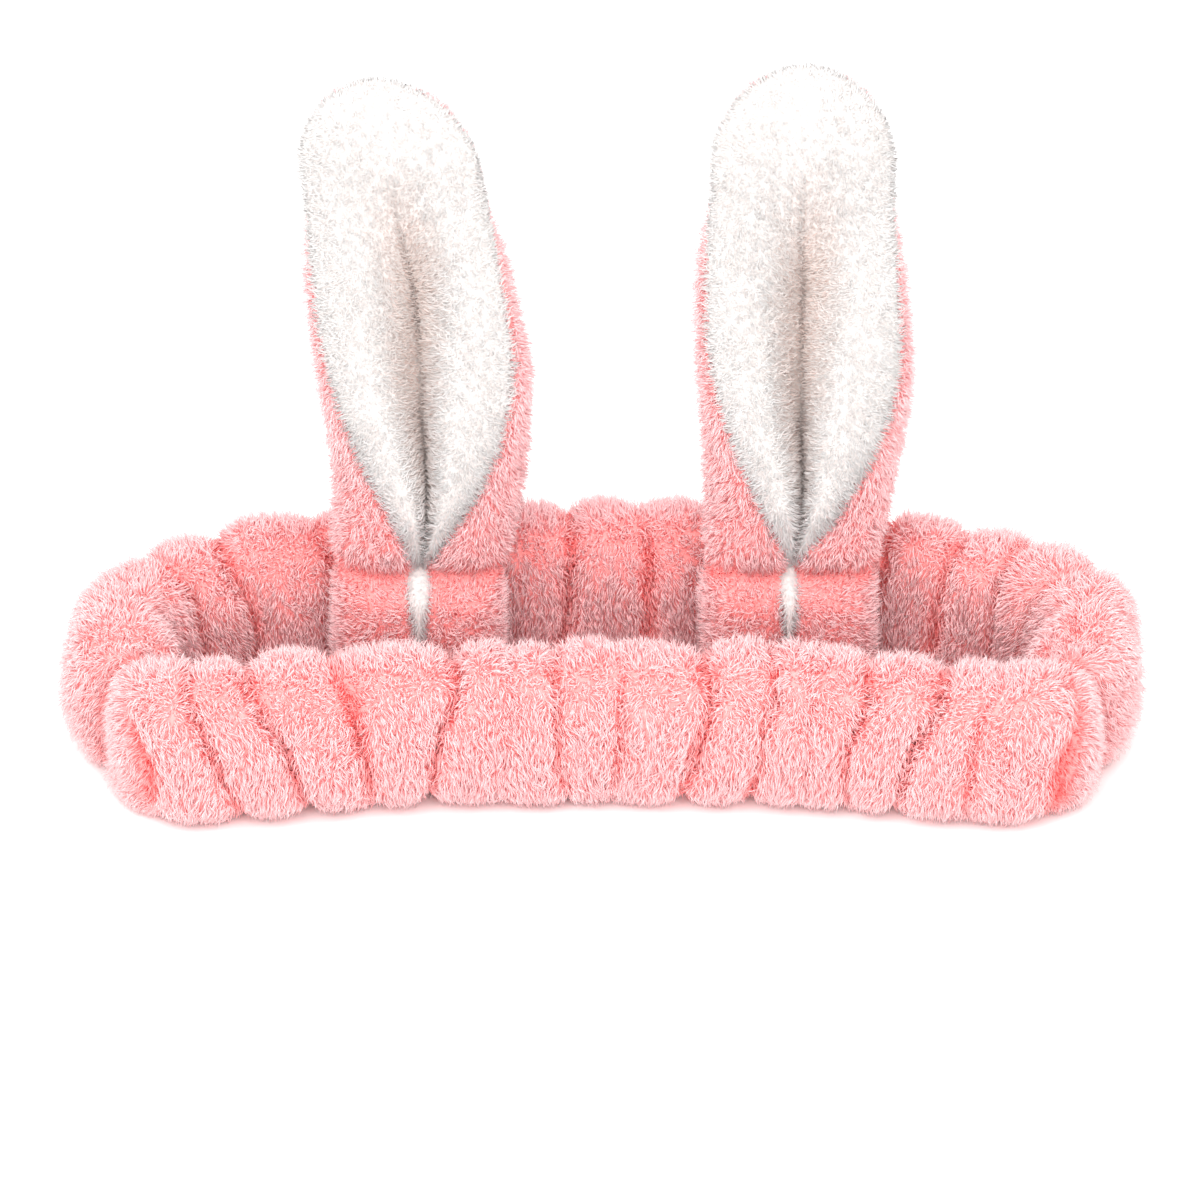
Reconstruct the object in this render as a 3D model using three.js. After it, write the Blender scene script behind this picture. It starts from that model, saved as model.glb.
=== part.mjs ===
// Plush spa headband: a gathered fleece loop over flat elastic, with two upright rabbit ears.
//
// Millimetres, +Z up. +X is the wearer's left to right across the band, -Y is the side that the
// pale ear linings face. The origin is the middle of the bounding box, on the surface on which
// the band stands.
//
// The loop is two fabric sleeves, rear and front, each a hollow tube with an elastic inside. They
// meet at the two side seams. Each ear is a back, a wadding and a lining, curled lengthwise into
// a trough and sewn round the edge. A row of tack stitches across its foot is the fold line: the
// ear fabric runs on below it as a root, which is sewn to the inner face of the rear sleeve.

import * as THREE from 'three';

// Plan of the loop, measured on the middle line of the sleeves.
const LOOP_HALF_WIDTH = 106;
const LOOP_HALF_DEPTH = 31;
const LOOP_BLUNTNESS = 6; // superellipse exponent: 2 is an ellipse, more is squarer ends
const LOOP_BOW = 20; // how far the side seams stand in front of the middle of the loop
const LOOP_BOW_POWER = 3; // the bow grows with this power of the distance from the middle
const LOOP_TAPER = 0.04; // the rear is this share wider, and the front this share narrower

// Sleeves and what they hold.
const ELASTIC_WIDTH = 22;
const ELASTIC_THICKNESS = 1.5;
const ELASTIC_CLEARANCE = 1;
const SLEEVE_WALL = 6; // gathered fleece, with the folds that reach inwards
const SLEEVE_THICKNESS = 26;
const SLEEVE_ROUNDNESS = 2.6; // superellipse exponent of the section
const SLEEVE_HEIGHT = ELASTIC_WIDTH + 2 * (ELASTIC_CLEARANCE + SLEEVE_WALL);
const GATHERS = 11; // on each sleeve
const GATHER_DEPTH = 1.6;
const THREAD_DIAMETER = 0.8;
const GAP = 0.3; // between pieces that touch

// Ears, above the fold line.
const EAR_SPACING = 82; // between the middles of the two fold lines
const EAR_HEIGHT = 123;
const EAR_FOOT_DEPTH = 17; // of the folded fabric where it is not pinched
const LINING_THICKNESS = 2.2;
const WADDING_THICKNESS = 2.4;
const LAYER_GAP = 0.5;
const FOLD_PINCH = 0.34; // share of the foot's depth that is left at the fold line
const FOLD_RISE = 13; // from the fold line to where the foot is at its full depth
const FOLD_CLEARANCE = 1.1; // from the axis of the fold to the lower edge of the ear
const ROOT_FOOT_HEIGHT = 2; // of the root's lower edge above the surface

// The ear from foot to tip: the share of its height, half the width of the flat fabric and the
// angle through which each half of it is curled forwards.
const EAR_STATIONS = [
  { at: 0, halfWidth: 34.5, curl: 176 },
  { at: 0.15, halfWidth: 34.5, curl: 138 },
  { at: 0.35, halfWidth: 32.5, curl: 102 },
  { at: 0.57, halfWidth: 27.2, curl: 72 },
  { at: 0.78, halfWidth: 22, curl: 52 },
  { at: 0.9, halfWidth: 15.5, curl: 40 },
  { at: 0.96, halfWidth: 10, curl: 34 },
  { at: 1, halfWidth: 4.5, curl: 30 },
];
const EAR_FLAT_SHARE = 0.24; // of the half width that stays flat at the back of the trough
const EAR_TURN_SHARE = 0.56; // of the half width over which the foot turns; it grows to the tip
const SECTION_STEPS = 48; // of the sum that curls a section

const PINK_FLEECE = { color: 0xf7bcbc, roughness: 0.95, metalness: 0 };
const WHITE_PLUSH = { color: 0xf5f1ee, roughness: 0.95, metalness: 0 };
const WADDING = { color: 0xfaf8f4, roughness: 1, metalness: 0 };
const ELASTIC = { color: 0xf2eeea, roughness: 0.8, metalness: 0 };
const THREAD = { color: 0xf2a9a9, roughness: 0.7, metalness: 0 };

const headband = new THREE.Group();

function addPiece(name, geometry, finish) {
  const piece = new THREE.Mesh(geometry, new THREE.MeshStandardMaterial(finish));
  piece.name = name;
  headband.add(piece);
}

// ---- Closed bodies -------------------------------------------------------------------------

// A wall of fabric: point(u, v, side) gives its inner (side 0) and outer (side 1) surface. u and
// v run from 0 to 1. Where round is true, v closes on itself and the wall is a tube.
function wallGeometry(rows, columns, round, point) {
  const across = round ? columns : columns + 1;
  const positions = [];
  for (let side = 0; side < 2; side++) {
    for (let i = 0; i <= rows; i++) {
      for (let j = 0; j < across; j++) positions.push(...point(i / rows, j / columns, side));
    }
  }
  const at = (i, j, side) => (side * (rows + 1) + i) * across + (j % across);
  const index = [];
  const quad = (a, b, c, d) => index.push(a, c, b, a, d, c);
  for (let i = 0; i < rows; i++) {
    for (let j = 0; j < columns; j++) {
      quad(at(i, j, 1), at(i, j + 1, 1), at(i + 1, j + 1, 1), at(i + 1, j, 1));
      quad(at(i, j, 0), at(i + 1, j, 0), at(i + 1, j + 1, 0), at(i, j + 1, 0));
    }
    if (!round) {
      quad(at(i, 0, 1), at(i + 1, 0, 1), at(i + 1, 0, 0), at(i, 0, 0));
      quad(at(i, columns, 1), at(i, columns, 0), at(i + 1, columns, 0), at(i + 1, columns, 1));
    }
  }
  for (let j = 0; j < columns; j++) {
    quad(at(0, j, 1), at(0, j, 0), at(0, j + 1, 0), at(0, j + 1, 1));
    quad(at(rows, j, 1), at(rows, j + 1, 1), at(rows, j + 1, 0), at(rows, j, 0));
  }
  const geometry = new THREE.BufferGeometry();
  geometry.setAttribute('position', new THREE.Float32BufferAttribute(positions, 3));
  geometry.setIndex(index);
  return geometry;
}

// A thread: a round bar along an open curve, or a ring on a closed one.
function threadGeometry(curve, steps) {
  const section = new THREE.Shape();
  section.absarc(0, 0, THREAD_DIAMETER / 2, 0, 2 * Math.PI);
  return new THREE.ExtrudeGeometry(section, {
    steps,
    curveSegments: 3,
    bevelEnabled: false,
    extrudePath: curve,
  });
}

// ---- The loop ------------------------------------------------------------------------------

// The middle line of the loop, seen from above, at an angle round it from +X.
function loopPoint(angle) {
  const across = Math.abs(Math.cos(angle) / LOOP_HALF_WIDTH) ** LOOP_BLUNTNESS;
  const along = Math.abs(Math.sin(angle) / LOOP_HALF_DEPTH) ** LOOP_BLUNTNESS;
  const radius = (across + along) ** (-1 / LOOP_BLUNTNESS);
  const x = radius * Math.cos(angle);
  const y = radius * Math.sin(angle);
  const bow = LOOP_BOW * Math.abs(x / LOOP_HALF_WIDTH) ** LOOP_BOW_POWER;
  return new THREE.Vector3(x * (1 + LOOP_TAPER * y / LOOP_HALF_DEPTH), y - bow, 0);
}

// Half of the middle line, from one side seam to the other, anticlockwise from above.
function halfLoop(firstAngle) {
  const points = [];
  for (let i = 0; i <= 60; i++) points.push(loopPoint(firstAngle + Math.PI * i / 60));
  return new THREE.CatmullRomCurve3(points, false, 'centripetal');
}

// The point that lies `out` of the middle line and `up` from the surface, at a share of the line.
function beside(line, share, out, up) {
  const point = line.getPointAt(share);
  const tangent = line.getTangentAt(share);
  return new THREE.Vector3(point.x + tangent.y * out, point.y - tangent.x * out, up);
}

// One corner of a sleeve's section: its share of the half thickness and of the half height.
const SECTION_CORNERS = 12;
function sectionCorner(share) {
  const angle = 2 * Math.PI * (share + 0.5 / SECTION_CORNERS) - Math.PI / 2;
  const flattest = Math.cos(Math.PI / SECTION_CORNERS) ** (2 / SLEEVE_ROUNDNESS);
  const power = (value) => Math.sign(value) * Math.abs(value) ** (2 / SLEEVE_ROUNDNESS);
  return { out: power(Math.cos(angle)), up: power(Math.sin(angle)) / flattest };
}

const SIDE_GAP = THREAD_DIAMETER + 2 * GAP; // between the sleeves, where the seam thread runs

// A share of the line with both ends held back by `trim`.
const trimmed = (line, share, trim) => {
  const end = trim / line.getLength();
  return end + share * (1 - 2 * end);
};

function sleeveGeometry(line) {
  const halfThickness = SLEEVE_THICKNESS / 2;
  const halfHeight = SLEEVE_HEIGHT / 2;
  return wallGeometry(GATHERS * 4, SECTION_CORNERS, true, (u, v, side) => {
    const share = trimmed(line, u, SIDE_GAP / 2);
    const corner = sectionCorner(v);
    if (side === 0) {
      const out = corner.out * (halfThickness - SLEEVE_WALL);
      return beside(line, share, out, halfHeight + corner.up * (halfHeight - SLEEVE_WALL));
    }
    const valley = (1 + Math.cos(2 * Math.PI * GATHERS * u)) / 2;
    const fullness = 1 - valley * GATHER_DEPTH / halfThickness;
    const up = halfHeight * (1 + corner.up) * fullness;
    return beside(line, share, corner.out * halfThickness * fullness, up);
  });
}

// A curve that keeps a constant distance from the middle line.
function besideLine(line, out, up, trim) {
  const points = [];
  for (let i = 0; i <= 36; i++) points.push(beside(line, trimmed(line, i / 36, trim), out, up));
  return new THREE.CatmullRomCurve3(points, false, 'centripetal');
}

function elasticGeometry(line) {
  const half = new THREE.Vector2(ELASTIC_WIDTH / 2, ELASTIC_THICKNESS / 2);
  const section = new THREE.Shape([
    new THREE.Vector2(-half.x, -half.y),
    new THREE.Vector2(half.x, -half.y),
    new THREE.Vector2(half.x, half.y),
    new THREE.Vector2(-half.x, half.y),
  ]);
  return new THREE.ExtrudeGeometry(section, {
    steps: 30,
    bevelEnabled: false,
    extrudePath: besideLine(line, 0, SLEEVE_HEIGHT / 2, SIDE_GAP / 2),
  });
}

// The closing seam of a sleeve lies inside it, low in the channel, beside the elastic.
function sleeveSeamGeometry(line) {
  const out = -(ELASTIC_THICKNESS / 2 + THREAD_DIAMETER / 2 + 2 * GAP);
  const up = SLEEVE_WALL + ELASTIC_CLEARANCE + THREAD_DIAMETER / 2;
  return threadGeometry(besideLine(line, out, up, SIDE_GAP / 2), 30);
}

// The overcast thread round the tube where the two sleeves are sewn together. Its two ends stop
// short of each other under the tube.
function sideSeamGeometry(line, end) {
  const points = [];
  for (let i = 0; i < SECTION_CORNERS; i++) {
    const corner = sectionCorner(i / SECTION_CORNERS);
    const out = corner.out * (SLEEVE_THICKNESS - SLEEVE_WALL) / 2;
    const up = SLEEVE_HEIGHT / 2 + corner.up * (SLEEVE_HEIGHT - SLEEVE_WALL) / 2;
    points.push(beside(line, end, out, up));
  }
  return threadGeometry(new THREE.CatmullRomCurve3(points), 22);
}

const rearLine = halfLoop(0);
const frontLine = halfLoop(Math.PI);
addPiece('rear_sleeve', sleeveGeometry(rearLine), PINK_FLEECE);
addPiece('rear_elastic', elasticGeometry(rearLine), ELASTIC);
addPiece('rear_sleeve_seam', sleeveSeamGeometry(rearLine), THREAD);
addPiece('front_sleeve', sleeveGeometry(frontLine), PINK_FLEECE);
addPiece('front_elastic', elasticGeometry(frontLine), ELASTIC);
addPiece('front_sleeve_seam', sleeveSeamGeometry(frontLine), THREAD);
addPiece('right_side_seam', sideSeamGeometry(rearLine, 0), THREAD);
addPiece('left_side_seam', sideSeamGeometry(rearLine, 1), THREAD);

// ---- The ears ------------------------------------------------------------------------------

// A value of the ear at a share of its height, on a smooth curve through the stations.
function earValue(key, share) {
  const last = EAR_STATIONS.length - 2;
  const i = Math.min(last, EAR_STATIONS.findLastIndex((station) => station.at <= share));
  const near = (k) => EAR_STATIONS[Math.max(0, Math.min(last + 1, k))];
  const slope = (k) => (near(k + 1)[key] - near(k - 1)[key]) / (near(k + 1).at - near(k - 1).at);
  const span = near(i + 1).at - near(i).at;
  const t = (share - near(i).at) / span;
  const start = near(i)[key] * (1 + 2 * t) * (1 - t) ** 2 + slope(i) * span * t * (1 - t) ** 2;
  return start + near(i + 1)[key] * t * t * (3 - 2 * t) + slope(i + 1) * span * t * t * (t - 1);
}

const smooth = (t) => THREE.MathUtils.smoothstep(t, 0, 1);

// Half of the curled section at a share of the ear's height: points and headings from the middle
// of the back to the edge. x is across, y is forwards and heading is how far it has turned.
function curlSection(share) {
  const halfWidth = earValue('halfWidth', share);
  const curl = THREE.MathUtils.degToRad(earValue('curl', share));
  const flat = EAR_FLAT_SHARE * halfWidth * (1 - share / 2);
  const foot = EAR_TURN_SHARE * halfWidth;
  const turn = THREE.MathUtils.lerp(foot, halfWidth - flat, smooth(share * 2));
  const step = halfWidth / SECTION_STEPS;
  const section = [{ x: 0, y: 0, heading: 0 }];
  for (let i = 1; i <= SECTION_STEPS; i++) {
    const before = section[i - 1];
    const heading = curl * smooth((i * step - flat) / turn);
    const mean = (heading + before.heading) / 2;
    const x = before.x + step * Math.cos(mean);
    section.push({ x, y: before.y + step * Math.sin(mean), heading });
  }
  return section;
}

// The layers of an ear, as distances from the middle of its thickness; the back is positive.
const HALF_LAYERS = WADDING_THICKNESS / 2 + LAYER_GAP;
const BACK_LAYER = [HALF_LAYERS, HALF_LAYERS + LINING_THICKNESS];
const LINING_LAYER = [-HALF_LAYERS - LINING_THICKNESS, -HALF_LAYERS];
const WADDING_LAYER = [-WADDING_THICKNESS / 2, WADDING_THICKNESS / 2];
const EAR_HALF_THICKNESS = BACK_LAYER[1];

// Share of the full depth that the fabric has at a height above or below the fold line.
const pinchAt = (height) => {
  return FOLD_PINCH + (1 - FOLD_PINCH) * smooth(Math.abs(height) / FOLD_RISE);
};

const FOOT_SECTION = curlSection(0);
const FOOT_DEPTH_SCALE = EAR_FOOT_DEPTH / (FOOT_SECTION.at(-1).y + 2 * EAR_HALF_THICKNESS);

// A point of the curled fabric, from the fold line's middle. across runs from -1 at one edge to 1
// at the other, and layer is the distance from the middle of the thickness. Below the fold line
// the fabric keeps the section that it has there.
function fabricPoint(height, across, layer) {
  const share = THREE.MathUtils.clamp(height / EAR_HEIGHT, 0, 1);
  const section = curlSection(share);
  const reach = Math.abs(across) * SECTION_STEPS;
  const i = Math.max(0, Math.min(SECTION_STEPS - 1, Math.floor(reach)));
  const part = reach - i;
  const mix = (key) => THREE.MathUtils.lerp(section[i][key], section[i + 1][key], part);
  const heading = mix('heading');
  const x = mix('x') + layer * Math.sin(heading);
  const forward = mix('y') - layer * Math.cos(heading) - section.at(-1).y / 2;
  const depthScale = THREE.MathUtils.lerp(FOOT_DEPTH_SCALE, 1, smooth(share * 2));
  return new THREE.Vector3(Math.sign(across) * x, -forward * depthScale * pinchAt(height), height);
}

// The stretch of ear fabric from one height to another, as a solid layer. Layers that lie on each
// other share their rows and columns, and `inset` leaves out that many at each edge and the top.
function layerGeometry(place, stretch, layer, inset) {
  const columns = 12;
  const reach = 1 - 2 * inset / columns;
  const lastRow = stretch.rows - inset;
  return wallGeometry(lastRow, columns - 2 * inset, false, (u, v, side) => {
    const height = rowHeight(stretch, u * lastRow);
    return place(fabricPoint(height, reach * (2 * v - 1), layer[side]));
  });
}

// The height of a row of a stretch of fabric. The rows draw closer together towards the top.
function rowHeight(stretch, row) {
  const share = row / stretch.rows;
  return THREE.MathUtils.lerp(stretch.from, stretch.to, share * (1.4 - 0.4 * share));
}

// Where the edge seam passes a row of the fabric, square to the edge and just clear of it.
function seamPoint(place, stretch, row, edge) {
  const height = rowHeight(stretch, row);
  const point = place(fabricPoint(height, edge, 0));
  const along = place(fabricPoint(height - 0.5, edge, 0)).sub(point).normalize();
  const outwards = point.clone().sub(place(fabricPoint(height, 0.95 * edge, 0)));
  outwards.addScaledVector(along, -outwards.dot(along)).normalize();
  return point.addScaledVector(outwards, THREAD_DIAMETER / 2 + GAP);
}

// Each ear: its side of the loop, how far its tip stands to the side and how far it is turned.
const EARS = [
  { name: 'left', side: -1, lean: -10, turn: -7 },
  { name: 'right', side: 1, lean: 1.5, turn: 0 },
];

// Where a fold line lies: on top of the rear sleeve's inner face, clear of it with the root.
const FOLD_HEIGHT = SLEEVE_HEIGHT;
const ROOT_HALF_WIDTH = Math.max(...FOOT_SECTION.map((point) => point.x)) + EAR_HALF_THICKNESS;
const outerRootEdge = EAR_SPACING / 2 + ROOT_HALF_WIDTH;
let nearestSleeveFace = Infinity;
for (let i = 0; i <= 100; i++) {
  const face = beside(rearLine, i / 100, -SLEEVE_THICKNESS / 2, 0);
  if (Math.abs(face.x) < outerRootEdge) nearestSleeveFace = Math.min(nearestSleeveFace, face.y);
}
const FOLD_FORWARD = nearestSleeveFace - GAP - EAR_FOOT_DEPTH / 2;

for (const ear of EARS) {
  const fold = new THREE.Vector3(ear.side * EAR_SPACING / 2, FOLD_FORWARD, FOLD_HEIGHT);
  const placeEar = (point) => {
    const share = Math.max(0, point.z / EAR_HEIGHT);
    point.applyAxisAngle(new THREE.Vector3(0, 0, 1), THREE.MathUtils.degToRad(ear.turn) * share);
    point.x += ear.lean * share * share;
    return point.add(fold);
  };
  const placeRoot = (point) => point.add(fold);
  const tip = EAR_HEIGHT;
  const foot = FOLD_CLEARANCE;
  const stretch = { from: foot, to: tip, rows: 13 };
  addPiece(`${ear.name}_ear_back`, layerGeometry(placeEar, stretch, BACK_LAYER, 0), PINK_FLEECE);
  addPiece(`${ear.name}_ear_lining`, layerGeometry(placeEar, stretch, LINING_LAYER, 0), WHITE_PLUSH);
  addPiece(`${ear.name}_ear_wadding`, layerGeometry(placeEar, stretch, WADDING_LAYER, 1), WADDING);

  // The edge seam runs just outside the edges of the layers, up one side and down the other.
  const edge = [];
  for (let row = 1; row <= stretch.rows; row++) edge.push(seamPoint(placeEar, stretch, row, -1));
  const overTip = THREAD_DIAMETER / 2 + GAP;
  edge.push(placeEar(fabricPoint(tip, 0, 0)).add(new THREE.Vector3(0, 0, overTip)));
  for (let row = stretch.rows; row >= 1; row--) edge.push(seamPoint(placeEar, stretch, row, 1));
  const edgeCurve = new THREE.CatmullRomCurve3(edge, false, 'centripetal');
  addPiece(`${ear.name}_ear_edge_seam`, threadGeometry(edgeCurve, 40), THREAD);

  // The root below the fold line. Its top leaves room for the foot of the ear to turn over.
  const rootTop = -(FOLD_PINCH * EAR_FOOT_DEPTH / 2 + GAP);
  const root = { from: ROOT_FOOT_HEIGHT - FOLD_HEIGHT, to: rootTop, rows: 4 };
  addPiece(`${ear.name}_root_back`, layerGeometry(placeRoot, root, BACK_LAYER, 0), PINK_FLEECE);
  addPiece(`${ear.name}_root_lining`, layerGeometry(placeRoot, root, LINING_LAYER, 0), WHITE_PLUSH);

  // The tack stitches lie along the fold line, which is the axis on which the ear folds.
  const halfTack = ROOT_HALF_WIDTH - THREAD_DIAMETER;
  const tack = new THREE.LineCurve3(
    new THREE.Vector3(fold.x - halfTack, fold.y, fold.z),
    new THREE.Vector3(fold.x + halfTack, fold.y, fold.z),
  );
  addPiece(`${ear.name}_tack_stitches`, threadGeometry(tack, 1), THREAD);
}

// The origin is the middle of the whole headband, on the surface that it stands on.
const bounds = new THREE.Box3().setFromObject(headband);
const middle = bounds.getCenter(new THREE.Vector3());
headband.position.set(-middle.x, -middle.y, -bounds.min.z);

export default headband;
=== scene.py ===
"""A plush spa headband with two upright rabbit ears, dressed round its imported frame.

Every length is in metres. The loop is a gathered fleece sleeve that stands on its lower edge, and
each ear is a padded fleece leaf, curled into a trough and tacked down across its foot. The pile of
the fleece is real geometry: short tapered tufts, each a closed spike that leaves the knitted skin
below it, leans with the nap and draws together with its neighbours.
"""

import logging
import math
from dataclasses import dataclass, field
from enum import Enum
from typing import Sequence

import bmesh
import bpy
import numpy as np
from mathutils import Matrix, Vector


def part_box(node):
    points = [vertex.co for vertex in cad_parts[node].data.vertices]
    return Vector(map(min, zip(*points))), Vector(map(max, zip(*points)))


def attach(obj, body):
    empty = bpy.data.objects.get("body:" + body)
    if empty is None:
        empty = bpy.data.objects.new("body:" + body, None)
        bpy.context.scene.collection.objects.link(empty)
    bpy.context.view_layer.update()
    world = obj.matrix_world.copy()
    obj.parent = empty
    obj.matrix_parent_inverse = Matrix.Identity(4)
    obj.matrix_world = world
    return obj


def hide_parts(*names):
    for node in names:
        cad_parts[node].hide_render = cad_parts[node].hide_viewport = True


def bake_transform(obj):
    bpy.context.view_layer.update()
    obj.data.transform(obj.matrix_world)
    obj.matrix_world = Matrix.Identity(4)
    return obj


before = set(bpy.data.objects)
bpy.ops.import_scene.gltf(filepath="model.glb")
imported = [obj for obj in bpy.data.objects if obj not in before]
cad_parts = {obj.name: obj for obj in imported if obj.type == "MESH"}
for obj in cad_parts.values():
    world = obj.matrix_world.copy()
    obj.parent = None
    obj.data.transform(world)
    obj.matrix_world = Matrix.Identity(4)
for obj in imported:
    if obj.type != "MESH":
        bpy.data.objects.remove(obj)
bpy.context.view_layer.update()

MM = 0.001
LOG = logging.getLogger("headband")
Array = np.ndarray
Stations = tuple[tuple[float, float], ...]


# ---- Numbers that vary smoothly ---------------------------------------------------------------


def smooth(t: Array | float) -> Array | float:
    """Returns 0 to 1 along an even S-curve while t goes from 0 to 1, and holds its ends."""
    t = np.clip(t, 0, 1)
    return t * t * (3 - 2 * t)


def mix(a: Array | float, b: Array | float, t: Array | float) -> Array | float:
    """Returns what lies a share t of the way from a to b."""
    return a + (b - a) * t


def unit(vectors: Array) -> Array:
    """Returns the vectors, one to a row, each made one long."""
    return vectors / np.maximum(np.linalg.norm(vectors, axis=-1, keepdims=True), 1e-12)


LATTICE_PRIMES = (73856093, 19349663, 83492791)
LAST_WHOLE = 2147483647


def hashed(cells: Array, seed: int) -> Array:
    """Gives every cell of a lattice a number of its own.

    Args:
        cells: Whole numbers, three to a row.
        seed: Sets one lattice apart from another.

    Returns:
        One value from 0 to 1 for each row.
    """
    c = cells.astype(np.int64)
    x, y, z = (c[..., k] * prime for k, prime in enumerate(LATTICE_PRIMES))
    h = (x ^ y ^ z ^ (seed * 40503 + 977)) & LAST_WHOLE
    h = (h * 48271 + 11) % LAST_WHOLE
    h = (h ^ (h >> 13)) * 69621 % LAST_WHOLE
    return h / LAST_WHOLE


def noise(points: Array, size: float, seed: int) -> Array:
    """Smooth noise in space.

    Args:
        points: Places in metres, one to a row.
        size: How far apart its humps lie, in metres.
        seed: Sets one noise apart from another.

    Returns:
        One value from -1 to 1 for each row.
    """
    at = points / size
    low = np.floor(at)
    w = smooth(at - low)
    total = np.zeros(len(points))
    for corner in np.ndindex(2, 2, 2):
        share = np.prod(np.where(np.array(corner) == 1, w, 1 - w), axis=1)
        total += share * hashed(low + np.array(corner), seed)
    return 2 * total - 1


def noise_vectors(points: Array, size: float, seed: int) -> Array:
    """Returns three smooth noises as the coordinates of a vector for each point."""
    return np.stack([noise(points, size, seed + k) for k in range(3)], 1)


def through(stations: Stations, at: Array) -> Array:
    """Reads a smooth curve that passes through given stations.

    Args:
        stations: Pairs of place and value, in order of place.
        at: The places to read.

    Returns:
        The value at each place.
    """
    x = np.array([s[0] for s in stations])
    y = np.array([s[1] for s in stations])
    slope = np.gradient(y, x)
    at = np.clip(at, x[0], x[-1])
    i = np.clip(np.searchsorted(x, at, "right") - 1, 0, len(x) - 2)
    span = x[i + 1] - x[i]
    t = (at - x[i]) / span
    start = y[i] * (1 + 2 * t) * (1 - t) ** 2 + slope[i] * span * t * (1 - t) ** 2
    return start + y[i + 1] * t * t * (3 - 2 * t) + slope[i + 1] * span * t * t * (t - 1)


# ---- Shaders ----------------------------------------------------------------------------------


class Value:
    """A number that runs over a surface: the output socket of a node, with arithmetic."""

    def __init__(self, finish: "Material", socket: bpy.types.NodeSocket) -> None:
        """Wraps a socket of one material's node tree."""
        self.finish = finish
        self.socket = socket

    def _maths(self, operation: str, first: "Value | float", second: "Value | float") -> "Value":
        """Returns the output of a new Math node."""
        made = self.finish.node("ShaderNodeMath", {"operation": operation}, {0: first, 1: second})
        return Value(self.finish, made.outputs[0])

    def __add__(self, other: "Value | float") -> "Value":
        """Returns self + other."""
        return self._maths("ADD", self, other)

    def __radd__(self, other: "Value | float") -> "Value":
        """Returns other + self."""
        return self._maths("ADD", other, self)

    def __sub__(self, other: "Value | float") -> "Value":
        """Returns self - other."""
        return self._maths("SUBTRACT", self, other)

    def __rsub__(self, other: "Value | float") -> "Value":
        """Returns other - self."""
        return self._maths("SUBTRACT", other, self)

    def __mul__(self, other: "Value | float") -> "Value":
        """Returns self * other."""
        return self._maths("MULTIPLY", self, other)

    def __rmul__(self, other: "Value | float") -> "Value":
        """Returns other * self."""
        return self._maths("MULTIPLY", other, self)


class Material:
    """One node material under construction, with a Principled shader as its surface."""

    def __init__(self, name: str) -> None:
        """Starts an empty material of that name."""
        self.block = bpy.data.materials.new(name)
        self.block.use_nodes = True
        self.tree = self.block.node_tree
        self.tree.nodes.clear()
        self.shader = self.node("ShaderNodeBsdfPrincipled")
        self.node("ShaderNodeOutputMaterial", {}, {"Surface": self.shader.outputs[0]})

    def node(
        self, kind: str, settings: dict | None = None, sockets: dict | None = None
    ) -> bpy.types.Node:
        """Adds one node.

        Args:
            kind: Blender's type name of the node.
            settings: Attributes to set first. stops gives a ramp its places and colours.
            sockets: Input name or number to a value, a Value or an output socket.

        Returns:
            The new node.
        """
        made = self.tree.nodes.new(kind)
        for key, value in (settings or {}).items():
            if key == "stops":
                self._set_stops(made.color_ramp, value)
            else:
                setattr(made, key, value)
        for key, value in (sockets or {}).items():
            self.feed(made.inputs[key], value)
        return made

    @staticmethod
    def _set_stops(ramp: bpy.types.ColorRamp, stops: Sequence[tuple[float, tuple]]) -> None:
        """Gives a ramp its stops.

        Args:
            ramp: The ramp.
            stops: A place and a colour for each stop.
        """
        while len(ramp.elements) < len(stops):
            ramp.elements.new(0.5)
        for element, (place, colour) in zip(ramp.elements, stops):
            element.position = place
            element.color = (*colour, 1)

    def feed(self, socket: bpy.types.NodeSocket, value: object) -> None:
        """Sets an input to a constant, or links it.

        Args:
            socket: The input.
            value: A constant, a Value or an output socket.
        """
        if isinstance(value, Value):
            value = value.socket
        if isinstance(value, bpy.types.NodeSocket):
            self.tree.links.new(value, socket)
        else:
            socket.default_value = value

    def set(self, **inputs: object) -> None:
        """Feeds the shader's inputs, named with underscores for spaces."""
        for key, value in inputs.items():
            self.feed(self.shader.inputs[key.replace("_", " ")], value)

    def noise(self, place: bpy.types.NodeSocket, scale: float, detail: float = 3.0) -> Value:
        """Returns fractal noise from 0 to 1 over the place, at so many humps to a metre."""
        sockets = {"Vector": place, "Scale": scale, "Detail": detail}
        return Value(self, self.node("ShaderNodeTexNoise", {}, sockets).outputs["Fac"])

    def ramp(self, factor: Value, stops: Sequence[tuple[float, tuple]]) -> bpy.types.NodeSocket:
        """Returns the colours of a ramp read at factor."""
        return self.node("ShaderNodeValToRGB", {"stops": stops}, {0: factor}).outputs["Color"]

    def blend(self, factor: Value | float, a: object, b: object) -> bpy.types.NodeSocket:
        """Returns colour a mixed with colour b by factor."""
        mixer = self.node("ShaderNodeMix", {"data_type": "RGBA"}, {0: factor, 6: a, 7: b})
        return mixer.outputs[2]

    def wave(self, place: bpy.types.NodeSocket, run: str, scale: float, bent: float = 0.0) -> Value:
        """Returns ridges from 0 to 1 over the place, in a named direction and bent so much."""
        sockets = {"Vector": place, "Scale": scale, "Distortion": bent}
        made = self.node("ShaderNodeTexWave", {"bands_direction": run}, sockets)
        return Value(self, made.outputs["Fac"])

    def bump(self, height: Value, depth: float, strength: float = 1.0) -> None:
        """Raises the surface's normal by a height from 0 to 1 over so many metres."""
        sockets = {"Height": height, "Distance": depth, "Strength": strength}
        self.set(Normal=self.node("ShaderNodeBump", {}, sockets).outputs[0])

    def place(self) -> bpy.types.NodeSocket:
        """Returns the coordinates of the surface in its own object, in metres."""
        return self.node("ShaderNodeTexCoord").outputs["Object"]


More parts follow.
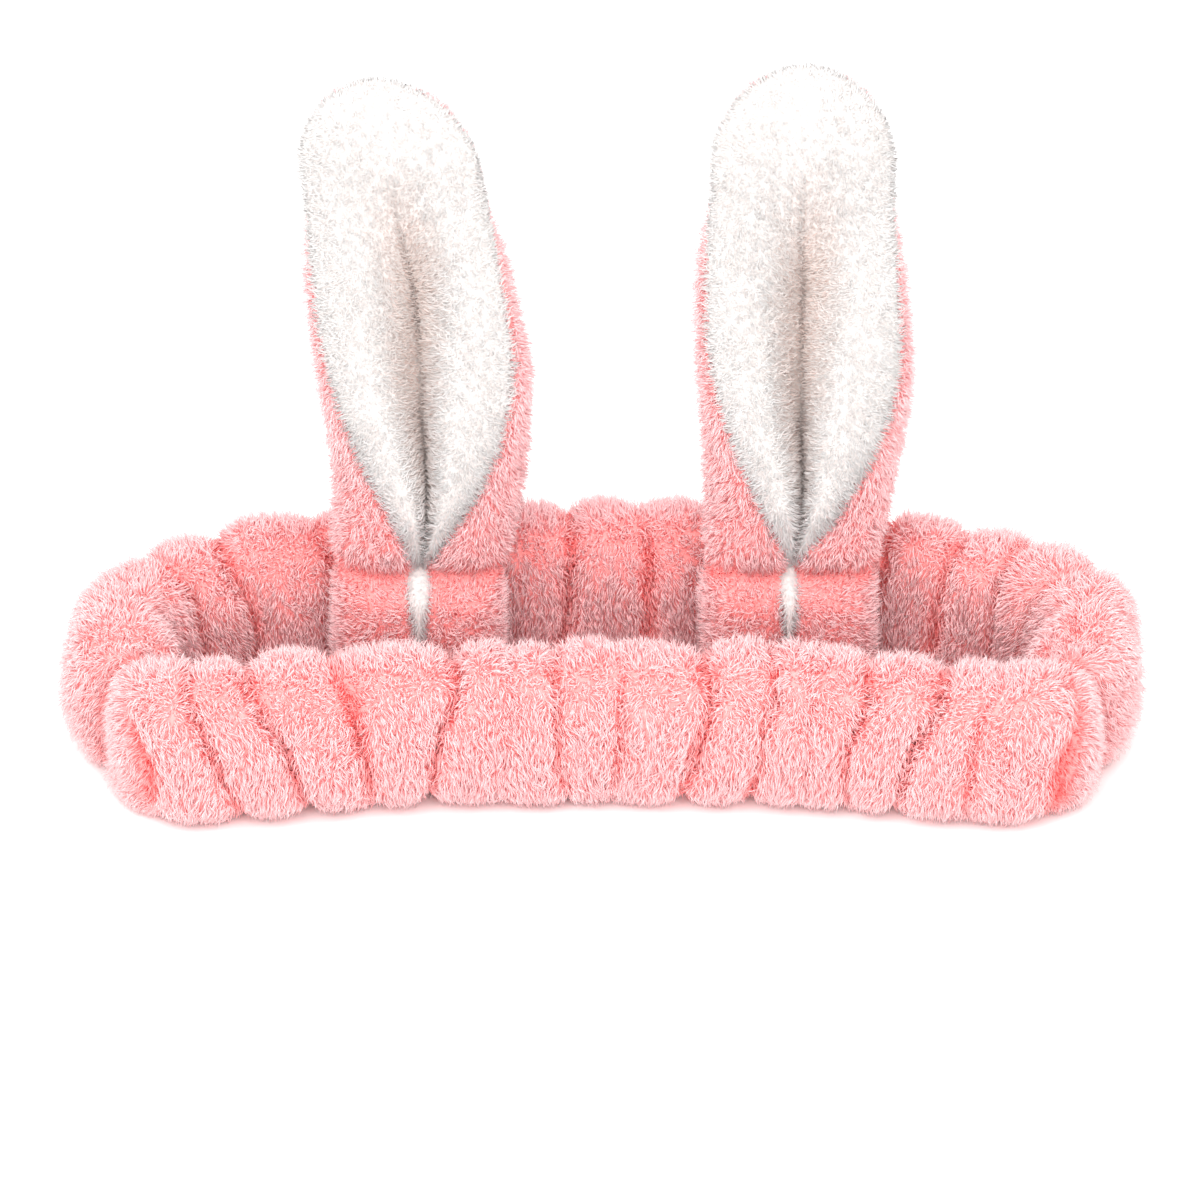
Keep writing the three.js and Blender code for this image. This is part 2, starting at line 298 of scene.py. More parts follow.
Colour = tuple[float, float, float]


@dataclass(frozen=True)
class PileFinish:
    """Silky polyester pile: its roots painted deeper than its tips, and its tufts in folds deeper
    still, both as painted shade.
    """

    name: str
    # Root, middle and tip colours of tufts out of the folds; the darker roots are painted shade.
    open: tuple[Colour, Colour, Colour]
    # Root, middle and tip colours of tufts in folds and creases: painted shade.
    deep: tuple[Colour, Colour, Colour]
    roughness: float = 0.8

    def make(self) -> bpy.types.Material:
        """Makes the material, which reads each tuft's tone and height from its map.

        Returns:
            The material.
        """
        finish = Material(self.name)
        lay = finish.node("ShaderNodeUVMap", {"uv_map": "OFBake"}).outputs[0]
        apart = finish.node("ShaderNodeSeparateXYZ", {}, {0: lay}).outputs
        tone, height = Value(finish, apart[0]), Value(finish, apart[1])
        places = (0.0, 0.45, 0.95)
        # Tone 0 takes the deep colours, painted shade for folds and creases; the height ramps also
        # paint shade at the roots.
        lit_colours = finish.ramp(height, tuple(zip(places, self.open)))
        painted_shade = finish.ramp(height, tuple(zip(places, self.deep)))
        finish.set(Base_Color=finish.blend(tone, painted_shade, lit_colours))
        finish.set(Roughness=self.roughness, Specular_IOR_Level=0.08)
        return finish.block


@dataclass(frozen=True)
class KnitFinish:
    """The knitted ground that the pile stands on: fine loops in rows, seen only in the creases."""

    name: str
    colour: Colour
    deep: Colour
    loops: float = 900.0

    def make(self) -> bpy.types.Material:
        """Makes the material.

        Returns:
            The material.
        """
        finish = Material(self.name)
        place = finish.place()
        cloud = finish.noise(place, 220.0)
        weave = finish.noise(place, self.loops, 1.0)
        colour = finish.blend(cloud * 0.8, (*self.colour, 1), (*self.deep, 1))
        finish.set(Base_Color=colour, Roughness=0.95, Specular_IOR_Level=0.05)
        finish.bump(weave * 0.5 + cloud * 0.5, 0.4 * MM)
        return finish.block


@dataclass(frozen=True)
class ThreadFinish:
    """Spun sewing thread: two plies that wind round each other."""

    name: str
    colour: Colour

    def make(self) -> bpy.types.Material:
        """Makes the material.

        Returns:
            The material.
        """
        finish = Material(self.name)
        plies = finish.wave(finish.place(), "DIAGONAL", 900.0, 1.5)
        dark = tuple(0.7 * c for c in self.colour)
        finish.set(Base_Color=finish.blend(plies, (*dark, 1), (*self.colour, 1)))
        finish.set(Roughness=0.55, Sheen_Weight=0.2)
        finish.bump(plies, 0.1 * MM)
        return finish.block


@dataclass(frozen=True)
class ElasticFinish:
    """Flat woven elastic: covered rubber cords side by side, crossed by fine weft."""

    name: str
    colour: Colour

    def make(self) -> bpy.types.Material:
        """Makes the material.

        Returns:
            The material.
        """
        finish = Material(self.name)
        place = finish.place()
        ribs = finish.wave(place, "Z", 260.0)
        weft = finish.noise(place, 2400.0, 1.0)
        dark = tuple(0.72 * c for c in self.colour)
        colour = finish.blend(ribs * 0.7 + weft * 0.3, (*dark, 1), (*self.colour, 1))
        finish.set(Base_Color=colour, Roughness=0.7)
        finish.bump(ribs * 0.7 + weft * 0.3, 0.3 * MM)
        return finish.block


@dataclass(frozen=True)
class WaddingFinish:
    """Bonded polyester wadding: a felted cloud of fine fibres."""

    name: str
    colour: Colour

    def make(self) -> bpy.types.Material:
        """Makes the material.

        Returns:
            The material.
        """
        finish = Material(self.name)
        place = finish.place()
        cloud = finish.noise(place, 350.0, 6.0)
        fibres = finish.noise(place, 3000.0, 2.0)
        grey = tuple(0.82 * c for c in self.colour)
        finish.set(Base_Color=finish.blend(cloud, (*grey, 1), (*self.colour, 1)), Roughness=1.0)
        finish.bump(cloud * 0.6 + fibres * 0.4, 0.6 * MM)
        return finish.block


# The deep colours are painted shade: coral in the pink pile's creases, warm beige in the white
# lining's middle fold.
PINK_PILE = PileFinish(
    "pink_pile",
    open=((1.0, 0.59, 0.595), (1.0, 0.67, 0.68), (1.0, 0.73, 0.745)),
    deep=((1.0, 0.13, 0.12), (1.0, 0.23, 0.22), (1.0, 0.44, 0.43)),
)
WHITE_PILE = PileFinish(
    "white_pile",
    open=((0.735, 0.72, 0.712), (0.745, 0.734, 0.726), (0.748, 0.74, 0.734)),
    deep=((0.76, 0.49, 0.42), (0.77, 0.61, 0.55), (0.77, 0.69, 0.65)),
)
PINK_KNIT = KnitFinish("pink_knit", (1.0, 0.46, 0.45), (0.98, 0.34, 0.32))
WHITE_KNIT = KnitFinish("white_knit", (0.82, 0.79, 0.77), (0.78, 0.71, 0.68))
PINK_THREAD = ThreadFinish("pink_thread", (0.86, 0.42, 0.42))
WHITE_ELASTIC = ElasticFinish("white_elastic", (0.88, 0.85, 0.82))
SOFT_WADDING = WaddingFinish("soft_wadding", (0.93, 0.92, 0.90))


# ---- Skins: the cloth that the pile stands on -------------------------------------------------


@dataclass
class Skin:
    """A grid of cloth: its outer face, the thickness behind it and how its pile lies.

    Attributes:
        outer: Points of the outer face, rows by columns by 3.
        normals: The way out of the cloth at each point.
        thickness: Of the cloth, in metres.
        comb: The way that the nap leans at each point, along the cloth.
        reach: The length of the pile at each point, as a share of its full length.
        thick: How closely the pile stands at each point, as a share of its full density.
        open: How far out of the painted shade of the folds each point is, from 0 to 1.
    """

    outer: Array
    normals: Array
    thickness: float
    comb: Array
    reach: Array
    thick: Array
    open: Array

    def mesh(self, name: str, finish: bpy.types.Material) -> bpy.types.Object:
        """Makes the cloth as one closed shell.

        Args:
            name: The piece's name.
            finish: Its material.

        Returns:
            The new object.
        """
        rows, columns = self.outer.shape[:2]
        inner = self.outer - self.normals * self.thickness
        points = np.concatenate([self.outer.reshape(-1, 3), inner.reshape(-1, 3)])
        n = rows * columns
        at = np.arange(n).reshape(rows, columns)
        a, b, c, d = at[:-1, :-1], at[:-1, 1:], at[1:, 1:], at[1:, :-1]
        front = np.stack([a, b, c, d], -1).reshape(-1, 4)
        rim = np.concatenate([at[0, :], at[1:, -1], at[-1, -2::-1], at[-2:0:-1, 0]])
        after = np.roll(rim, -1)
        walls = np.stack([after, rim, rim + n, after + n], -1)
        faces = np.concatenate([front, front[:, ::-1] + n, walls])
        piece = new_mesh(name, points, faces, finish)
        weld_shell(piece)
        return piece


NO_TRIANGLES = np.empty((0, 3), int)


def new_mesh(
    name: str,
    points: Array,
    quads: Array,
    finish: bpy.types.Material,
    triangles: Array = NO_TRIANGLES,
) -> bpy.types.Object:
    """Makes a smooth-shaded mesh object from four-sided and three-sided faces.

    Args:
        name: The object's name.
        points: Its vertices, one to a row.
        quads: Vertex numbers of its four-sided faces.
        finish: Its material.
        triangles: Vertex numbers of its three-sided faces.

    Returns:
        The object, linked to the scene.
    """
    mesh = bpy.data.meshes.new(name)
    mesh.vertices.add(len(points))
    mesh.vertices.foreach_set("co", points.astype(np.float32).ravel())
    corners = np.concatenate([quads.ravel(), triangles.ravel()]).astype(np.int32)
    mesh.loops.add(len(corners))
    mesh.loops.foreach_set("vertex_index", corners)
    starts = [np.arange(0, quads.size, 4), quads.size + np.arange(0, triangles.size, 3)]
    starts = np.concatenate(starts).astype(np.int32)
    mesh.polygons.add(len(starts))
    mesh.polygons.foreach_set("loop_start", starts)
    mesh.update(calc_edges=True)
    mesh.polygons.foreach_set("use_smooth", np.ones(len(starts), bool))
    mesh.materials.append(finish)
    piece = bpy.data.objects.new(name, mesh)
    bpy.context.scene.collection.objects.link(piece)
    return piece


def tube(name: str, rings: Array, closed: bool, finish: bpy.types.Material) -> bpy.types.Object:
    """Makes a tube whose wall runs from ring to ring.

    Args:
        name: The object's name.
        rings: The points of each ring, rings by sides by 3.
        closed: Whether the last ring joins the first. If not, both ends are capped.
        finish: Its material.

    Returns:
        The object.
    """
    count, sides = rings.shape[:2]
    i, j = np.meshgrid(np.arange(count if closed else count - 1), np.arange(sides), indexing="ij")
    after, beside = (i + 1) % count, (j + 1) % sides
    quads = np.stack([i, i, after, after], -1) * sides + np.stack([j, beside, beside, j], -1)
    caps = NO_TRIANGLES
    if not closed:
        fan = np.array([(0, k + 1, k) for k in range(1, sides - 1)])
        caps = np.concatenate([fan, fan[:, ::-1] + (count - 1) * sides])
    return new_mesh(name, rings.reshape(-1, 3), quads.reshape(-1, 4), finish, caps)


WELD = 0.01 * MM


def weld_shell(piece: bpy.types.Object) -> None:
    """Joins the points of a shell that lie on each other, such as where a tube's grid closes.

    Args:
        piece: The shell's object.
    """
    shell = bmesh.new()
    shell.from_mesh(piece.data)
    bmesh.ops.remove_doubles(shell, verts=shell.verts, dist=WELD)
    bmesh.ops.dissolve_degenerate(shell, edges=shell.edges, dist=WELD / 2)
    doubled = [f for f in shell.faces if all(not e.is_manifold for e in f.edges)]
    bmesh.ops.delete(shell, geom=doubled, context="FACES")
    bmesh.ops.recalc_face_normals(shell, faces=shell.faces)
    shell.to_mesh(piece.data)
    shell.free()
    piece.data.polygons.foreach_set("use_smooth", np.ones(len(piece.data.polygons), bool))


def grid_normals(points: Array, around: bool) -> Array:
    """Finds the way out of a grid of points, rows by columns.

    Args:
        points: The grid.
        around: Whether its last column lies on its first.

    Returns:
        A unit vector for each point.
    """
    along = np.gradient(points, axis=0)
    if around:
        ring = np.concatenate([points[:, -2:-1], points, points[:, 1:2]], 1)
        across = (ring[:, 2:] - ring[:, :-2]) / 2
    else:
        across = np.gradient(points, axis=1)
    return unit(np.cross(along, across))


# ---- Pile -------------------------------------------------------------------------------------


@dataclass(frozen=True)
class PileStyle:
    """How a pile is cut and how it lies.

    Attributes:
        length: Of a tuft, in metres.
        width: Of a tuft at its root, in metres.
        density: Tufts to a square metre.
        clump: How far apart the clumps lie that tufts draw together in, in metres.
        pull: How far the tips are drawn to the middle of their clump, from 0 to 1.
        nap: How far every tuft leans the way it is combed.
        stray: How far each tuft leans its own way, and each clump.
        uneven: How much the tufts differ in length, as a share.
        under: Share of the tufts that are short and straight, and fill in below the others.
        even: Whether tufts catch light as the cloth under them does, as very soft pile does.
    """

    length: float
    width: float
    density: float
    clump: float
    pull: float
    nap: float
    stray: tuple[float, float]
    uneven: float
    under: float
    even: bool = False


FACES_IN_PIECE = 190000
BENT_FACES = 10
STRAIGHT_FACES = 4
FLOOR_CLEARANCE = 0.25 * MM
ROOT_IN_CLOTH = 0.4 * MM
SHORT_LENGTH = 0.62
DRIFT = 0.35
DRIFT_SPAN = 14 * MM
LEAST_RISE = 0.45
UPRIGHT_TO_BEND = 0.62
TONE_SPREAD = 0.14


@dataclass
class Pile:
    """The tufts of one skin, as closed three-sided spikes with one bend."""

    skin: Skin
    style: PileStyle
    finish: PileFinish
    seed: int

    def _roots(self) -> tuple[Array, Array, Array, Array, Array]:
        """Scatters tufts over the skin.

        Returns:
            Roots, normals, combs, lengths and tones, one to a row.
        """
        rng = np.random.default_rng(self.seed)
        skin = self.skin
        a, b = skin.outer[:-1, :-1], skin.outer[:-1, 1:]
        c, d = skin.outer[1:, 1:], skin.outer[1:, :-1]
        areas = np.linalg.norm(np.cross(c - a, d - b), axis=-1) / 2
        share = (skin.thick[:-1, :-1] + skin.thick[1:, 1:]) / 2
        wanted = (areas * share).ravel() * self.style.density
        total = int(wanted.sum())
        marks = (np.arange(total) + rng.random(total)) / total
        cell = np.searchsorted(np.cumsum(wanted) / wanted.sum(), marks)
        cell = np.clip(cell, 0, wanted.size - 1)
        i, j = np.divmod(cell, areas.shape[1])
        u, v = rng.random(total)[:, None], rng.random(total)[:, None]

        def read(grid: Array) -> Array:
            """Reads a grid at the tufts' places in their cells.

            Args:
                grid: Values at the corners of the cells, rows by columns.

            Returns:
                The value at each tuft, one to a row.
            """
            if grid.ndim == 2:
                grid = grid[..., None]
            low = mix(grid[i, j], grid[i, j + 1], v)
            return mix(low, mix(grid[i + 1, j], grid[i + 1, j + 1], v), u)

        reach = read(skin.reach)[:, 0]
        uneven = 1 + self.style.uneven * rng.uniform(-1, 1, total)
        lengths = self.style.length * reach * uneven
        # Tones carry the skin's painted light share, spread at random: low tones take the pile's
        # painted shade colours.
        tones = read(skin.open)[:, 0] + TONE_SPREAD * rng.normal(0, 1, total)
        tones = np.clip(tones, 0.01, 0.99)
        return read(skin.outer), unit(read(skin.normals)), read(skin.comb), lengths, tones

    def _clumps(self, roots: Array) -> tuple[Array, Array]:
        """Finds the clump that each tuft belongs to.

        Args:
            roots: Where the tufts stand, one to a row.

        Returns:
            The middle of each tuft's clump, and a random vector that is the clump's own.
        """
        size = self.style.clump
        home = np.floor(roots / size)
        nearest = np.full(len(roots), np.inf)
        middle = np.zeros_like(roots)
        own = np.zeros_like(roots)
        for step in np.ndindex(3, 3, 3):
            cell = home + np.array(step) - 1
            jitter = np.stack([hashed(cell, self.seed + 7 * k + 1) for k in range(3)], 1)
            centre = (cell + jitter) * size
            away = np.linalg.norm(centre - roots, axis=1)
            closer = away < nearest
            nearest[closer] = away[closer]
            middle[closer] = centre[closer]
            mark = np.stack([hashed(cell, self.seed + 11 * k + 5) for k in range(3)], 1)
            own[closer] = 2 * mark[closer] - 1
        return middle, own

    def pieces(self, name: str) -> list[bpy.types.Object]:
        """Makes the pile, in as many objects as its size needs.

        Args:
            name: What the objects are named after.

        Returns:
            The objects.
        """
        style = self.style
        rng = np.random.default_rng(self.seed + 1)
        roots, normals, combs, lengths, tones = self._roots()
        short = rng.random(len(roots)) < style.under
        lengths = np.where(short, lengths * SHORT_LENGTH, lengths)
        middle, own = self._clumps(roots)
        stray = rng.normal(0, 1, roots.shape)
        lean = normals + style.nap * combs + style.stray[0] * stray + style.stray[1] * own
        lean += DRIFT * noise_vectors(roots, DRIFT_SPAN, self.seed)
        rise = np.sum(lean * normals, axis=1, keepdims=True)
        lean = unit(lean + normals * np.maximum(LEAST_RISE - rise, 0))
        tips = roots + lean * lengths[:, None]
        gather = middle - roots
        gather -= normals * np.sum(gather * normals, axis=1, keepdims=True)
        tips += style.pull * gather
        bends = roots + mix(lean, normals, UPRIGHT_TO_BEND) * lengths[:, None] / 2
        bends += 0.35 * style.pull * gather + 0.05 * lengths[:, None] * stray
        feet = roots - normals * ROOT_IN_CLOTH
        for points in (tips, bends, feet):
            points[:, 2] = np.maximum(points[:, 2], FLOOR_CLEARANCE)
        faces = np.where(short, STRAIGHT_FACES, BENT_FACES).sum()
        count = max(1, math.ceil(faces / FACES_IN_PIECE))
        material = self.finish.make()
        made = []
        for k, part in enumerate(np.array_split(np.arange(len(roots)), count)):
            title = name if count == 1 else f"{name}_{k + 1}"
            columns = (feet, bends, tips, normals, tones, short)
            made.append(self._spikes(title, material, *(x[part] for x in columns)))
        LOG.info("%s: %d tufts in %d pieces", name, len(roots), count)
        return made

    def _spikes(
        self,
        name: str,
        material: bpy.types.Material,
        feet: Array,
        bends: Array,
        tips: Array,
        normals: Array,
        tones: Array,
        short: Array,
    ) -> bpy.types.Object:
        """Makes one object of spikes.

        Args:
            name: The object's name.
            material: Its material.
            feet: Where each spike starts, just under the skin.
            bends: Where each spike bends.
            tips: Where each spike ends.
            normals: The way out of the skin at each spike.
            tones: Each spike's tone, from 0 to 1; low tones take the painted shade colours.
            short: Whether each spike is straight, without its bend.

        Returns:
            The object.
        """
        along = unit(tips - feet)
        side = unit(np.cross(along, normals + 0.01))
        front = np.cross(along, side)
        rings, shades = [], []
        for middle, width in ((feet, 1.0), (bends, 0.9)):
            for k in range(3):
                turn = 2 * math.pi * k / 3 + 0.5
                out = math.cos(turn) * side + math.sin(turn) * front
                rings.append(middle + out * self.style.width * width / 2)
                shades.append(unit(0.45 * out + 0.9 * normals))
        rings.append(tips)
        shades.append(unit(0.25 * along + normals))
        points, shading = np.stack(rings, 1), np.stack(shades, 1)
        heights = np.array([0.02, 0.02, 0.02, 0.5, 0.5, 0.5, 0.98])
        across = np.array([-0.002, 0.0, 0.002, -0.002, 0.0, 0.002, 0.0])
        places = np.stack([tones[:, None] + across, np.broadcast_to(heights, (len(feet), 7))], -1)
        wall = np.array([(k, (k + 1) % 3, (k + 1) % 3 + 3, k + 3) for k in range(3)])
        flank = np.array([(0, 2, 1)] + [(k + 3, (k + 1) % 3 + 3, 6) for k in range(3)])
        plain = np.array([(0, 2, 1)] + [(k, (k + 1) % 3, 3) for k in range(3)])
        bent = ~short
        first = 7 * np.arange(bent.sum())[:, None, None]
        later = 7 * bent.sum() + 4 * np.arange(short.sum())[:, None, None]
        quads = (wall + first).reshape(-1, 4)
        triangles = np.concatenate([(flank + first).reshape(-1, 3), (plain + later).reshape(-1, 3)])
        foot_and_tip = [0, 1, 2, 6]

        def both(rows: Array) -> Array:
            """Lists the values of the bent spikes' points and then the straight spikes'.

            Args:
                rows: Values of all the points of each spike, as if each were bent.

            Returns:
                The values of the points that are used, one to a row.
            """
            width = rows.shape[-1]
            straight = rows[short][:, foot_and_tip]
            return np.concatenate([rows[bent].reshape(-1, width), straight.reshape(-1, width)])

        piece = new_mesh(name, both(points), quads, material, triangles)
        corners = np.concatenate([quads.ravel(), triangles.ravel()])
        layer = piece.data.uv_layers.new(name="OFBake")
        layer.uv.foreach_set("vector", both(places)[corners].astype(np.float32).ravel())
        if self.style.even:
            piece.data.normals_split_custom_set_from_vertices(both(shading))
        return piece


BAND_PILE = PileStyle(3.5 * MM, 0.3 * MM, 5.0e6, 2.3 * MM, 0.3, 0.65, (0.26, 0.42), 0.25, 0.5)
EAR_PILE = PileStyle(3.2 * MM, 0.29 * MM, 5.0e6, 2.1 * MM, 0.3, 0.6, (0.26, 0.38), 0.25, 0.5)
LINING_PILE = PileStyle(2.4 * MM, 0.27 * MM, 6.0e6, 1.7 * MM, 0.3, 0.5, (0.24, 0.3), 0.25, 0.5, True)


# ---- The loop ---------------------------------------------------------------------------------


class Half(Enum):
    """The two halves of the loop, each with the angle at which its line starts."""

    REAR = 0.0
    FRONT = math.pi


@dataclass(frozen=True)
class Crease:
    """A gather that pulls the sleeve in.

    Attributes:
        half: The half of the loop that it is on.
        share: How far along that half it lies, from its first side seam.
        slant: How far its upper end lies further along than its lower end, in metres.
        depth: How far it draws the cloth in, in metres.
        top: Share of that depth left along the top of the sleeve.
    """

    half: Half
    share: float
    slant: float
    depth: float
    top: float = 0.42


def _gathers() -> tuple[Crease, ...]:
    """Lists the gathers of the whole loop, as they fall when it is relaxed.

    Returns:
        The gathers, from share, slant and depth in millimetres, and top.
    """
    front = (
        (0.028, 3.0, 10.0, 1.0), (0.092, -8.0, 2.6, 0.3), (0.135, -12.0, 7.5, 0.6),
        (0.196, -14.0, 8.5, 0.6), (0.27, -11.0, 5.5, 0.4), (0.35, 8.0, 10.0, 1.1),
        (0.408, 2.0, 2.0, 0.3), (0.46, -3.0, 5.0, 0.5), (0.515, 1.5, 2.4, 0.3),
        (0.59, 4.0, 7.5, 0.75), (0.65, 5.0, 6.0, 0.5), (0.695, 2.0, 2.0, 0.2),
        (0.735, 6.0, 7.0, 0.5), (0.795, 12.0, 9.5, 0.6), (0.855, 6.0, 2.5, 0.3),
        (0.915, 9.0, 6.0, 0.6), (0.972, -3.0, 10.0, 1.0),
    )
    rear = (
        (0.05, -2.0, 2.5, 0.3), (0.1, -2.0, 5.0, 0.4), (0.155, -4.5, 8.0, 0.5),
        (0.212, -5.0, 5.0, 0.4), (0.268, -1.0, 7.5, 0.5), (0.325, 1.0, 3.5, 0.3),
        (0.41, 0.0, 6.5, 0.45), (0.463, 2.0, 5.0, 0.3), (0.535, -2.0, 7.0, 0.5),
        (0.59, 0.0, 3.5, 0.3), (0.665, 1.0, 7.0, 0.5), (0.73, 2.0, 4.0, 0.4),
        (0.81, 5.0, 8.5, 0.5), (0.868, 5.0, 6.5, 0.4), (0.945, 2.0, 2.5, 0.3),
    )
    made = [Crease(Half.REAR, s, k * MM, d * MM, t) for s, k, d, t in rear]
    made += [Crease(Half.FRONT, s, k * MM, d * MM, t) for s, k, d, t in front]
    return tuple(made)


@dataclass
class Loop:
    """The gathered sleeve all the way round, and what it is made from.

    Attributes:
        half_width: Of the middle line, side to side, before its taper.
        half_depth: Of the middle line, front to back, before its bow.
        bluntness: Exponent of the outline: 2 is an ellipse, more is squarer.
        bow: How far the sides stand in front of the middle.
        bow_power: How late the bow sets in.
        taper: Share by which the rear is wider, and the front narrower.
        tuck: Share by which the front's ends draw in beyond the taper, next to the side seams.
        seams: Where the side seams lie along the front.
        notch: How far the sleeve narrows towards its side seams, and over what distance.
        most_drawn: How far cloth can be drawn in from the face and from the top, short of the
            elastic.
        thickness: Of the sleeve with its pile, front to back.
        roundness: Exponent of the sleeve's section.
        pile_depth: How far the pile stands off the skin.
        pressed: How far the pile holds the skin off the surface below.
        steps: How many straight steps the middle line is drawn in.
        wander: How far a gather strays to the side on its way up.
        unlike: Share by which a gather's depth varies on its way up.
        lobe: Exponents of the swell between two gathers: its width, then its roundness.
        creases: The gathers, in order round the loop.
    """

    half_width: float = 106 * MM
    half_depth: float = 31 * MM
    bluntness: float = 4.6
    bow: float = 20 * MM
    bow_power: float = 3.0
    taper: float = 0.04
    tuck: float = 0.05
    seams: tuple[float, float] = (0.028, 0.972)
    notch: tuple[float, float] = (6 * MM, 9 * MM)
    most_drawn: tuple[float, float] = (8.2 * MM, 3.6 * MM)
    thickness: float = 26 * MM
    roundness: float = 2.5
    pile_depth: float = 2.7 * MM
    pressed: float = 1.8 * MM
    steps: int = 2880
    wander: float = 2.6 * MM
    unlike: float = 0.35
    lobe: tuple[float, float] = (3.2, 0.55)
    creases: tuple[Crease, ...] = field(default_factory=_gathers)

    def __post_init__(self) -> None:
        """Lays the middle line in the frame and measures it."""
        low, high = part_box("rear_sleeve")
        self.height = high.z - low.z
        self.shift = high.y - self.half_depth - self.thickness / 2
        turn = np.linspace(0, 2 * math.pi, self.steps + 1)
        across = np.abs(np.cos(turn) / self.half_width) ** self.bluntness
        along = np.abs(np.sin(turn) / self.half_depth) ** self.bluntness
        radius = (across + along) ** (-1 / self.bluntness)
        x, y = radius * np.cos(turn), radius * np.sin(turn)
        bow = self.bow * np.abs(x / self.half_width) ** self.bow_power
        x = x * (1 + self.taper * y / self.half_depth)
        x = x * (1 - self.tuck * smooth(-y / (0.6 * self.half_depth)))
        self.line = np.stack([x, y - bow + self.shift], 1)
        steps = np.linalg.norm(np.diff(self.line, axis=0), axis=1)
        self.travel = np.concatenate([[0], np.cumsum(steps)])
        self.rear_length = self.travel[self.steps // 2]
        self.length = self.travel[-1]
        ahead = np.roll(self.line[:-1], -12, 0) - np.roll(self.line[:-1], 12, 0)
        ahead = np.concatenate([ahead, ahead[:1]])
        self.heading = unit(ahead)

    def at(self, half: Half, share: float) -> float:
        """Finds how far round the loop a share of one half lies.

        Args:
            half: The half.
            share: How far along it, from 0 to 1.

        Returns:
            The distance along the middle line.
        """
        if half is Half.REAR:
            return share * self.rear_length
        return self.rear_length + share * (self.length - self.rear_length)

    def line_at(self, travel: Array) -> tuple[Array, Array]:
        """Reads the middle line.

        Args:
            travel: Distances round the loop.

        Returns:
            The points and headings there, seen from above.
        """
        travel = np.mod(travel, self.length)
        point = [np.interp(travel, self.travel, self.line[:, k]) for k in range(2)]
        heading = [np.interp(travel, self.travel, self.heading[:, k]) for k in range(2)]
        return np.stack(point, -1), unit(np.stack(heading, -1))

    def _drawn_in(self, travel: Array, turn: Array) -> tuple[Array, Array]:
        """Finds how the gathers shape the sleeve.

        Args:
            travel: Distances round the loop, one for each row.
            turn: Angles round the section, one for each column.

        Returns:
            How far the cloth is drawn in, and how near it is to the bottom of a crease, from 0
            on top of a lobe to 1, rows by columns.
        """
        base = np.array([self.at(c.half, c.share) for c in self.creases])
        slant = np.array([c.slant for c in self.creases])
        depth = np.array([c.depth for c in self.creases])
        top = np.array([c.top for c in self.creases])
        near = np.zeros((len(travel), len(turn)))
        notch = self.notch[0] * np.exp(-((self._from_seam(travel) / self.notch[1]) ** 2))
        drawn = notch[:, None] * smooth(0.6 + np.cos(turn) + np.sin(turn))[None]
        for j, angle in enumerate(turn):
            turned = 1.4 * math.cos(angle), 1.4 * math.sin(angle)
            around = [np.full(len(base), value) for value in turned]
            wander = noise(np.stack([base * 1000, *around], 1), 1.0, 31) * self.wander
            where = base + slant * math.sin(angle) / 2 + wander
            where = np.concatenate([[where[-1] - self.length], where, [where[0] + self.length]])
            facing = abs(math.cos(angle)) ** 0.8
            edge = top if math.sin(angle) > 0 else 0.12 + 0.6 * (top > 0.95)
            deep = depth * (facing + (1 - facing) * edge)
            deep = np.concatenate([deep[-1:], deep, deep[:1]])
            spots = np.stack([where * 90, np.full(len(where), angle), np.zeros(len(where))], 1)
            deep = deep * (1 + self.unlike * noise(spots, 1.0, 57))
            at = np.mod(travel - where[1], self.length) + where[1]
            k = np.clip(np.searchsorted(where, at, "right") - 1, 0, len(where) - 2)
            t = (at - where[k]) / (where[k + 1] - where[k])
            lobe = (1 - np.abs(2 * t - 1) ** self.lobe[0]) ** self.lobe[1]
            here = mix(deep[k], deep[k + 1], smooth(t))
            drawn[:, j] += here * (1 - lobe)
            near[:, j] = (1 - lobe) * smooth(here / (5 * MM))
        return drawn, near

    def _from_seam(self, travel: Array) -> Array:
        """Returns how far distances round the loop lie from the nearer side seam."""
        past = [np.mod(travel - self.at(Half.FRONT, s) + 0.1, self.length) - 0.1 for s in self.seams]
        return np.minimum(*np.abs(past))

    def skin(self, start: float, end: float) -> Skin:
        """Builds a stretch of the sleeve.

        Args:
            start: How far round the loop it starts.
            end: How far round the loop it ends.

        Returns:
            Its skin, with the nap combed down and away from the lobes' tops.
        """
        rows = max(8, int((end - start) / (0.9 * MM)))
        travel = np.linspace(start, end, rows)
        turn = np.linspace(-math.pi / 2, 1.5 * math.pi, 97)
        power = 2 / self.roundness
        cos, sin = np.cos(turn), np.sin(turn)
        half = (self.height - self.pressed - self.pile_depth) / 2
        out = np.sign(cos) * np.abs(cos) ** power * (self.thickness / 2 - self.pile_depth)
        up = np.sign(sin) * np.abs(sin) ** power * half
        drawn, near = self._drawn_in(travel, turn)
        steep = unit(np.stack([cos, sin * 0.8], -1))
        puff = 1.1 * MM * (1 - near)
        out = out[None] + steep[None, :, 0] * (puff - np.minimum(drawn, self.most_drawn[0]))
        up = up[None] + steep[None, :, 1] * (puff - np.minimum(drawn, self.most_drawn[1]))
        point, heading = self.line_at(travel)
        side = np.stack([heading[:, 1], -heading[:, 0]], -1)
        z = self.pressed + half + up
        plan = point[:, None] + side[:, None] * out[..., None]
        points = self._crumpled(np.concatenate([plan, z[..., None]], -1))
        points[:, -1] = points[:, 0]
        normals = grid_normals(points, True)
        forward = np.concatenate([heading, np.zeros((rows, 1))], 1)[:, None]
        away = np.gradient(near, axis=0)[..., None] * -12 * forward
        down = np.array([0, 0, -1.0]) + normals * normals[..., 2:]
        comb = 0.8 * down + np.clip(away, -1.0, 1.0)
